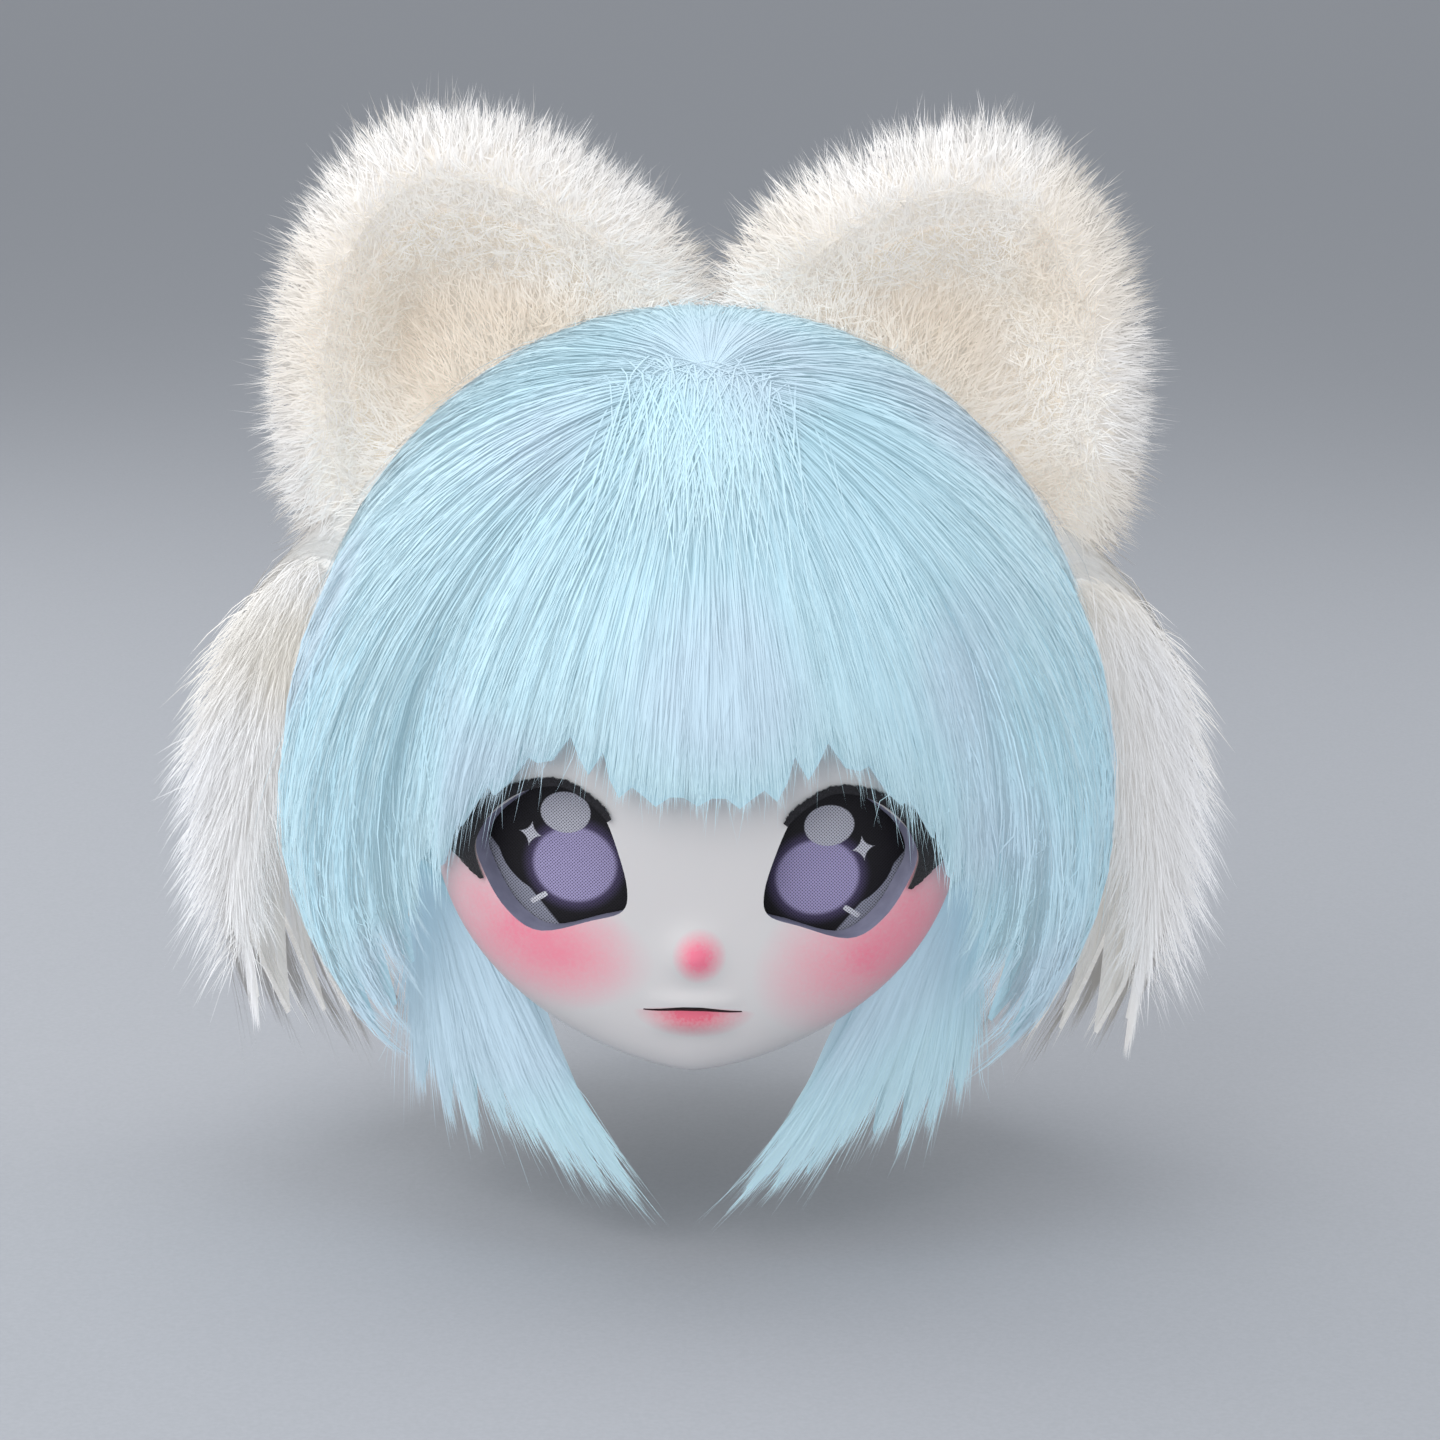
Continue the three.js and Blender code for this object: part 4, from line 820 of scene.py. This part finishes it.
def coat(name, layers, material, softness=0.97):
    """One mesh of tapered ribbons, each ending in a point. Layers are sets of fibres."""
    parts = {"points": [], "normals": [], "uvs": [], "tone": [], "tint": []}
    quads, points_faces, base = [], [], 0
    for lines, outward, width, tone, tint, turn in layers:
        count, steps, _ = lines.shape
        share = np.linspace(0, 1, steps)
        along = unit(np.gradient(lines, axis=1))
        across = unit(np.cross(along, outward))
        face = np.cross(across, along)
        turned = (turn[:, None] * np.linspace(0.4, 1, steps)).clip(-1.1, 1.1)[..., None]
        sideways = across * np.cos(turned) + face * np.sin(turned)
        facing = unit((face * np.cos(turned) - across * np.sin(turned)) * (1 - softness) + outward * softness)
        half = (width[:, None] * np.interp(share, [0, 0.2, 0.6, 1], [0.6, 1, 0.95, 0.45]) / 2)[..., None]
        pairs = np.stack([lines - sideways * half, lines + sideways * half], 2)[:, :-1].reshape(count, -1, 3)
        per = 2 * steps - 1
        parts["points"].append(np.concatenate([pairs, lines[:, -1:]], 1).reshape(-1, 3))
        parts["normals"].append(np.concatenate([np.repeat(facing[:, :-1], 2, 1), facing[:, -1:]], 1).reshape(-1, 3))
        x = np.append(np.tile([0.0, 1.0], steps - 1), 0.5)
        y = np.append(np.repeat(share[:-1], 2), 1.0)
        parts["uvs"].append(np.tile(np.stack([x, y], -1), (count, 1)))
        parts["tone"].append(np.repeat(tone, per))
        parts["tint"].append(np.repeat(tint, per))
        first = base + (np.arange(count) * per)[:, None] + np.arange(steps - 2) * 2
        quads.append(np.stack([first, first + 1, first + 3, first + 2], -1).reshape(-1, 4))
        last = base + np.arange(count) * per + per - 3
        points_faces.append(np.stack([last, last + 1, last + 2], -1))
        base += count * per
    faces = np.concatenate(quads).tolist() + np.concatenate(points_faces).tolist()
    made = mesh_object(name, np.concatenate(parts["points"]), faces, np.concatenate(parts["uvs"]))
    for word in ("tone", "tint"):
        layer = made.data.attributes.new(word, "FLOAT", "POINT")
        layer.data.foreach_set("value", np.concatenate(parts[word]).astype(np.float32))
    made.data.shade_smooth()
    made.data.normals_split_custom_set_from_vertices(np.concatenate(parts["normals"]).tolist())
    made.data.materials.append(material)
    return made


# ---- The camera, lights and floor ----

def set_stage():
    middle = Vector((0, 0, -MIDDLE_DROP / 1000))
    distance, rise, roll = 1.4, math.radians(12), math.radians(1.5)
    back = Vector((0, -math.cos(rise), math.sin(rise)))
    camera_data = bpy.data.cameras.new("camera")
    camera_data.lens = 95.4
    camera_data.sensor_width = 36
    camera = bpy.data.objects.new("camera", camera_data)
    bpy.context.collection.objects.link(camera)
    camera.location = middle + back * distance
    up = Vector((0, math.sin(rise), math.cos(rise)))
    # The photograph's centre is 20 px right of the head's middle and 3 px below it, at 3815 px to the distance.
    aim = middle + Vector((1, 0, 0)) * (20 / 3815 * distance) - up * (3 / 3815 * distance)
    look = (aim - camera.location).to_track_quat("-Z", "Y")
    camera.rotation_mode = "QUATERNION"
    camera.rotation_quaternion = look @ Matrix.Rotation(roll, 3, "Z").to_quaternion()
    bpy.context.scene.camera = camera

    bpy.ops.object.select_all(action="DESELECT")
    bpy.ops.mesh.primitive_plane_add(size=120, location=(0, 0, 0))
    floor = bpy.context.active_object
    floor.name = "floor"
    bpy.ops.object.transform_apply(location=True)
    floor.location = (0, 0, -0.314)
    bpy.ops.object.transform_apply(location=True)
    floor.data.materials.append(paper_material())

    lights = [
        ("key", (-1.2, -1.5, 1.2), 2.0, 25, "#FFFFFF"),
        ("front", (-0.4, -2.4, 0.0), 2.4, 13, "#FFFFFF"),
        ("fill", (1.4, -1.3, 0.5), 1.6, 3, "#FBFBFF"),
        ("top", (-0.2, 0.2, 1.8), 1.6, 9, "#FFFFFF"),
        ("left_rim", (-1.5, 0.9, 0.6), 1.2, 9, "#FFFFFF"),
        ("right_rim", (1.5, 0.9, 0.6), 1.2, 5, "#FFFFFF"),
    ]
    for name, place, size, power, tint in lights:
        data = bpy.data.lights.new(name, "AREA")
        data.size = size
        data.energy = power
        data.color = colour(tint)[:3]
        lamp = bpy.data.objects.new(name, data)
        bpy.context.collection.objects.link(lamp)
        lamp.location = place
        lamp.rotation_mode = "QUATERNION"
        lamp.rotation_quaternion = (middle - Vector(place)).to_track_quat("-Z", "Y")
    world = bpy.data.worlds.new("studio")
    world.use_nodes = True
    world.node_tree.nodes["Background"].inputs["Color"].default_value = colour("#D9DCE0")
    world.node_tree.nodes["Background"].inputs["Strength"].default_value = 0.8
    bpy.context.scene.world = world
    bpy.context.scene.view_settings.view_transform = "Standard"


# ---- The pieces ----

def make_face():
    spokes = 144
    rings = 1 - (1 - np.linspace(0, 1, 62)) ** 1.8
    flange = np.linspace(0, 1, 5)[1:]
    places = np.concatenate([rings, 1 + flange])

    def skin(raised, inset):
        def surface(u, t):
            turn = np.where(u <= 0.5, u * 4, (1 - u) * 4)
            sign = np.where(u <= 0.5, 1, -1)
            jaw = np.clip(turn, 0, 1) * np.pi / 2
            brow = np.clip(turn - 1, 0, 1) * np.pi / 2
            x = np.where(turn <= 1, np.sin(jaw) ** (2 / 1.5), np.maximum(0, np.cos(brow)) ** (2 / 2.2)) * FACE_HALF_WIDTH
            z = np.where(turn <= 1, -CHIN_DROP * np.maximum(0, np.cos(jaw)) ** (2 / 2.9), BROW_RISE * np.sin(brow) ** (2 / 2.2))
            share = np.minimum(t, 1)
            back = np.maximum(t - 1, 0)
            scale = share * (1 - inset / FACE_HALF_WIDTH)
            px, pz = x * scale, (z + NOSE_DROP) * scale - NOSE_DROP
            on_dome = 1 - (x / 104) ** 2 - (z / 128) ** 2
            dome_y = -104 * np.sqrt(np.maximum(0.02, on_dome)) - 1.5
            front = -face_forward(share, z) + inset * np.sqrt(1 - share ** 4) - (relief(px, pz) if raised else 0)
            return np.stack([sign * px, lerp(front, dome_y, back), pz], -1)
        return surface

    made = wall("face_mask", skin(True, 0), skin(False, FACE_WALL), spokes, places, closed=True, pole=True)
    for material in (mask_material(), socket_material(), mouth_material()):
        made.data.materials.append(material)
    outline = on_curve(np.array(EYE_OUTLINE) * (EYE_HALF_WIDTH, EYE_HALF_HEIGHT), np.arange(66) / 66, closed=True)

    def eye_loop(side, margin, depth, slanted=True):
        grown = outline * (1 + margin / EYE_HALF_WIDTH)
        return eye_point(side, grown[:, 0], grown[:, 1], depth, slanted)

    paints = list(made.data.materials)
    tubes = [loft("tube", [eye_loop(side, SOCKET_WALL, depth) for depth in (1.5, SOCKET_DEPTH)], paints, 1) for side in (1, -1)]
    combine(made, tubes, "UNION")
    tools = []
    for side in (1, -1):
        depths = [eye_loop(side, 0, -12, False), eye_loop(side, 0, 0), eye_loop(side, 0, SOCKET_DEPTH + 3)]
        tools.append(loft("hole", depths, paints, 1))
    shares = np.linspace(-1, 1, 25)
    slit = []
    for share in shares:
        x, middle = MOUTH_HALF_WIDTH * share, -MOUTH_DROP + 1.2 * math.cos(math.pi / 2 * share) ** 2
        rise = 0.8 * (1 - 0.7 * abs(share))
        slit.append(np.array([(x, -119, middle - rise), (x, -119, middle + rise), (x, -79, middle + rise), (x, -79, middle - rise)]))
    tools.append(loft("slit", slit, paints, 2))
    combine(made, tools, "DIFFERENCE")
    select_only(made)
    bpy.ops.object.shade_smooth_by_angle(angle=math.radians(38))
    return finish_piece(made, "face_shell")


def make_eyes():
    material = mesh_material()
    for word, side in (("left", 1), ("right", -1)):
        outline = np.array(EYE_OUTLINE) * (EYE_HALF_WIDTH, EYE_HALF_HEIGHT)

        def flat(u, t):
            return on_curve(outline, u, closed=True) * (t * (1 + 1.9 / EYE_HALF_WIDTH))[..., None]

        def at(depth):
            def surface(u, t):
                p = flat(u, t)
                return eye_point(side, p[..., 0], p[..., 1], depth)
            return surface

        made = wall("eye_mesh_" + word, at(SCREEN_DEPTH), at(SCREEN_DEPTH + 1.2), 66, np.linspace(0, 1, 9), True, True)
        layer = made.data.uv_layers["pile"]
        polar = np.empty(len(made.data.loops) * 2, np.float32)
        layer.data.foreach_get("uv", polar)
        polar = polar.reshape(-1, 2)
        nudge = -1.2 if side > 0 else 1.2
        mapped = (flat(polar[:, 0], polar[:, 1]) - (0, nudge)) / 100 + 0.5
        layer.data.foreach_set("uv", mapped.astype(np.float32).ravel())
        finish_piece(made, "eye_screen_" + word, material)


def make_lashes():
    material = felt_material()
    for word, side in (("left", 1), ("right", -1)):
        def at(lift):
            def surface(u, t):
                row = on_curve(LASH_ROWS, u)
                angle = np.radians(row[..., 0])
                ragged = 0.012 * np.sin(u * 210) * np.sin(u * 77) * t
                reach = EYE_HALF_WIDTH * lerp(row[..., 1], row[..., 2] + ragged, t)
                return eye_point(side, np.cos(angle) * reach, np.sin(angle) * reach, -lift, False)
            return surface

        made = wall("felt_lash_" + word, at(1.85), at(0.65), 120, np.linspace(0, 1, 5))
        finish_piece(made, "lash_" + word, material)


def sunken(surface, depth, seat, gap):
    """A fur's face pushed under the ends of its fibres."""
    return lambda u, t: held_outside(surface(u, t) - unit(surface(u, t)) * depth, seat, gap)


def widened(surface, by):
    """The same sheet, carried on a little past both side edges, so that fibres hide them."""
    return lambda u, t: surface(lerp(-by, 1 + by, u), t)


def across_whorl(count, side, random):
    """Fibres combed forward over the whorl, so that it doesn't show as a point."""
    run = np.linspace(0, 1, 6) * random.uniform(0.25, 0.65, (count, 1)) - random.uniform(0.02, 0.24, (count, 1))
    course = random.uniform(0, 0.09, (count, 1)) * side + np.where(run < 0, 0.5, 0)
    points = blue_cap(course % 1, np.abs(run))
    aside = random.normal(0, 12, (count, 1)) + 0 * run
    outward = unit(points + aside[..., None] * (1, 0, 0))
    height = hair_radius(outward) + random.uniform(-1.6, 0.6, (count, 1, 1)) - 3 * (np.linspace(1, 0, 6) ** 3)[None, :, None]
    flat = np.zeros(count)
    return outward * height, outward, random.uniform(0.35, 0.7, count), random.random(count) * 0.9, flat, flat


def make_blue_hair():
    pile = pile_material("blue_modacrylic_pile", "#A6C9D6", "#ADCEDB", "#BCD8E2", "#B6CAD9", 0.62, 0.37)
    under = underfur_material("blue_underfur", "#A4C8D5", "#ADCEDB", 700, 0.37)
    rows = np.concatenate([[0, 0.02], np.linspace(0.05, 1, 22)])
    cap = wall("blue_underfur_cap", sunken(blue_cap, 2.4, cap_radius, 1.4), blue_cap_back, 112, rows, True, True)
    finish_piece(cap, "front_hair", under)
    # The locks' fibres fan round, so that light from ahead reaches them as it does the fringe.
    ahead = (0, -0.9, 0.25)
    near_whorl = lambda u, t: 1 + 8 * np.exp(-(t / 0.08) ** 2) + 2 * np.exp(-(t / 0.2) ** 2)
    bundles = [(110, 0.08, 1.2, 0.45), (1500, 0.3, 1.3, 0.2)]
    for word, side in (("left", 1), ("right", -1)):
        half = (lambda u, t: (u % 1) < 0.5) if side > 0 else (lambda u, t: (u % 1) >= 0.5)
        random = np.random.default_rng(11 + side)
        layers = [
            long_fibres(blue_cap, 15000, (90, 150), (0.38, 0.78), random, bundles, first=0.12, wisp=0.025, crowd=near_whorl, keep=half),
            long_fibres(blue_cap, 2700, (60, 110), (0.2, 0.32), random, [(300, 0.4, 1.2, 0.3)], reach=1.03, wisp=0.04,
                        rise=2.5, spread=0.014, keep=half),
        ]

        def beside_eye(u, t):
            tip = blue_cap(u, np.ones_like(u))
            return half(u, t) & (np.abs(np.abs(tip[..., 0]) - 74) < 20) & (tip[..., 1] < -50)

        def beside_jaw(u, t):
            tip = blue_cap(u, np.ones_like(u))
            return half(u, t) & (np.abs(tip[..., 0]) > 92) & (tip[..., 2] < -30) & (t > 0.45)

        layers += [
            long_fibres(blue_cap, 3400, (60, 100), (0.22, 0.34), random, [(300, 0.35, 1.2, 0.3)], reach=1.08, wisp=0.05,
                        rise=2.0, spread=0.012, keep=beside_eye),
            long_fibres(blue_cap, 7000, (90, 150), (0.3, 0.65), random, [(40, 0.3, 1.2, 0.4), (300, 0.4, 1.3, 0.3)],
                        reach=1.06, wisp=0.045, rise=1.5, depth=0.0, spread=0.016, keep=beside_jaw, facing=ahead),
        ]
        layers.append(across_whorl(330, side, random))
        finish_piece(coat("blue_hair_" + word, layers, pile), "front_hair")
        outer, inner = mirrored(jaw_lock, side), mirrored(jaw_lock_back, side)
        lock = wall("jaw_lock_underfur_" + word, mirrored(sunken(jaw_lock, 2.4, shell_radius, 0.5), side), inner, 28,
                    np.linspace(0, 0.97, 16))
        finish_piece(lock, "side_lock_" + word, under)
        layers = [
            long_fibres(widened(outer, 0.07), 3700, (80, 140), (0.36, 0.75), random, [(26, 0.15, 1.2, 0.4), (320, 0.28, 1.3, 0.2)],
                        reach=0.96, wisp=0.05, rise=1.2, spread=0.03, facing=ahead),
            long_fibres(widened(outer, 0.1), 900, (60, 100), (0.2, 0.32), random, [(90, 0.3, 1.2, 0.3)], reach=1.0, wisp=0.04,
                        rise=3.0, spread=0.05, facing=ahead),
            long_fibres(widened(inner, 0.05), 1500, (70, 110), (0.5, 0.9), random, [(90, 0.35, 1.2, 0.4)], reach=0.97, wisp=0.03,
                        rise=0.3, depth=0.5, inward=True, facing=ahead),
        ]
        finish_piece(coat("jaw_lock_" + word, layers, pile), "side_lock_" + word)


def make_white_fur():
    pile = pile_material("white_modacrylic_pile", "#E2E0DD", "#E5E5E6", "#ECEDF0", "#E2DDD4", 0.65, 0.34)
    under = underfur_material("white_underfur", "#DEDBD7", "#E3E2E0", 700, 0.36)
    body = wall("white_underfur_sheet", sunken(white_sheet, 3, shell_radius, 2.4), white_sheet_back, 84,
                np.linspace(0, 0.97, 22))
    finish_piece(body, "back_fur", under)
    bundles = [(50, 0.18, 1.2, 0.4), (600, 0.35, 1.3, 0.25)]
    for word, side in (("left", 1), ("right", -1)):
        half = (lambda u, t: u < 0.5) if side > 0 else (lambda u, t: u >= 0.5)
        edge_u = 0.001 if side > 0 else 0.999

        def front_wall(u, t):
            place = np.full(u.shape, edge_u)
            depth = np.clip(u, 0, 1)
            puff = 6 * np.sin(np.pi * depth) * np.sin(np.pi * np.clip(t, 0, 1)) ** 0.5
            points = lerp(white_sheet(place, t), white_sheet_back(place, t), depth[..., None])
            return points - puff[..., None] * (0, 1, 0)

        random = np.random.default_rng(51 + side)
        inner_tint = lambda u, t: 0.3 * smoothstep(u, 0.2, 0.8) * (1 - 0.6 * t)
        fluff = dict(middle=(0, 0, 90), face=(0, -1, 0), lean=0.3, bend=0.05, loose=0.16, sunk=5, steps=5,
                     facing=(0.4 * side, -0.35, 0.35), tint=inner_tint)
        layers = [
            long_fibres(white_sheet, 8800, (80, 140), (0.45, 0.9), random, bundles, reach=1.0, wisp=0.035, rise=1.2, keep=half),
            long_fibres(front_wall, 2700, (60, 105), (0.28, 0.55), random, [(24, 0.2, 1.2, 0.3), (200, 0.3, 1.3, 0.3)],
                        reach=1.08, wisp=0.05, rise=1.2, spread=0.04, facing=(0, -0.9, 0.25), tint=inner_tint),
            short_fibres(front_wall, 4300, (14, 26), (0.22, 0.5), random, [(400, 0.25, 1.2, 0.25)], droop=1.7,
                         crowd=lambda u, t: smoothstep(t, 1.0, 0.82), **fluff),
            long_fibres(white_sheet, 2600, (70, 120), (0.2, 0.34), random, [(300, 0.4, 1.2, 0.3)], reach=1.02, wisp=0.03,
                        rise=3.5, spread=0.014, keep=half),
        ]
        finish_piece(coat("white_fur_" + word, layers, pile), "back_fur")
    random = np.random.default_rng(71)
    inside = [long_fibres(white_sheet_back, 2600, (80, 120), (0.8, 1.4), random, [(200, 0.4, 1.2, 0.5)], rise=0.2,
                          depth=0.5, keep=lambda u, t: t > 0.3, inward=True)]
    finish_piece(coat("white_fur_inside", inside, pile), "back_fur")


def make_ears():
    white = pile_material("white_plush_pile", "#E6E2DD", "#EAE7E4", "#F1F0EF", "#E6DED3", 0.62, 0.38)
    cream = pile_material("cream_plush_pile", "#E4DDD4", "#E8E3DC", "#EEEBE6", "#DFD3C4", 0.62, 0.38)
    white_under = underfur_material("white_plush_underfur", "#DFD8CE", "#E6E0D9", 400, 0.45)
    cream_under = underfur_material("cream_plush_underfur", "#DCD1C2", "#E3DACE", 400, 0.45)
    rows = np.array([0, 0.15, 0.35, 0.5, 0.6, 0.69, 0.78, 0.86, 0.92, 0.97, 1.0])
    above_hair = lambda p: size_of(p)[..., 0] > hair_radius(unit(p))[..., 0] - 6
    for word, side in (("left", 1), ("right", -1)):
        middle = (EAR_MIDDLE[0] * side, EAR_MIDDLE[1], EAR_MIDDLE[2] - 12)
        random = np.random.default_rng(81 + side)
        body = wall("ear_underfur_" + word, ear_face(side, True, -2), ear_face(side, False, -2), 64, rows, True, True)
        finish_piece(body, "ear_fur_" + word, white_under)
        front, back = ear_face(side, True), ear_face(side, False)
        plush = [(500, 0.35, 1.2, 0.35)]
        ahead, behind = (0, -1, 0), (0, 1, 0)
        to_bowl = lambda u, t: 0.3 * (1 - smoothstep(t, 0.5, 0.85))
        layers = [
            short_fibres(front, 10600, (7, 12), (0.24, 0.5), random, plush, middle, ahead, 0.6, tint=to_bowl, keep=above_hair,
                         crowd=lambda u, t: smoothstep(t, 0.4, 0.5), loose=0.24, sunk=3),
            short_fibres(back, 5800, (8, 14), (0.4, 0.8), random, plush, middle, behind, 0.6, keep=above_hair, droop=0.1, loose=0.2, sunk=3.5),
            short_fibres(front, 1500, (10, 17), (0.14, 0.24), random, [(300, 0.5, 1.2, 0.2)], middle, ahead, 0.62,
                         crowd=lambda u, t: smoothstep(t, 0.8, 0.95), keep=above_hair, loose=0.2),
            short_fibres(back, 1500, (11, 17.5), (0.14, 0.24), random, [(300, 0.5, 1.2, 0.2)], middle, behind, 0.7,
                         crowd=lambda u, t: 0.15 + smoothstep(t, 0.7, 0.95), keep=above_hair, loose=0.2),
        ]
        finish_piece(coat("ear_plush_" + word, layers, white, 0.96), "ear_fur_" + word)
        lining = wall("ear_lining_underfur_" + word, ear_face(side, True, 0, 1.6), ear_face(side, True, 0, 0.5), 64,
                      np.linspace(0, 0.6, 7), True, True)
        finish_piece(lining, "ear_lining_" + word, cream_under)
        low_middle = (middle[0] - 20 * side, middle[1], middle[2] - 40)
        low, raised = ear_face(side, True), ear_face(side, True, 0, 3)
        bowl = lambda u, t: lerp(raised(u, t), low(u, t), smoothstep(t, 0.5, 0.75)[..., None])
        layers = [short_fibres(bowl, 7900, (8, 13), (0.24, 0.5), random, [(400, 0.3, 1.2, 0.3)],
                               low_middle, ahead, 0.5, crowd=lambda u, t: 1 - smoothstep(t, 0.66, 0.84), keep=above_hair,
                               tint=lambda u, t: 0.5 * (1 - smoothstep(t, 0.1, 0.6)), loose=0.22, sunk=1.5)]
        finish_piece(coat("ear_bowl_plush_" + word, layers, cream, 0.96), "ear_lining_" + word)


set_stage()
dome = bpy.data.objects["head_shell"]
dome.data.materials.clear()
dome.data.materials.append(dome_material())
make_face()
make_eyes()
make_lashes()
make_blue_hair()
make_white_fur()
make_ears()
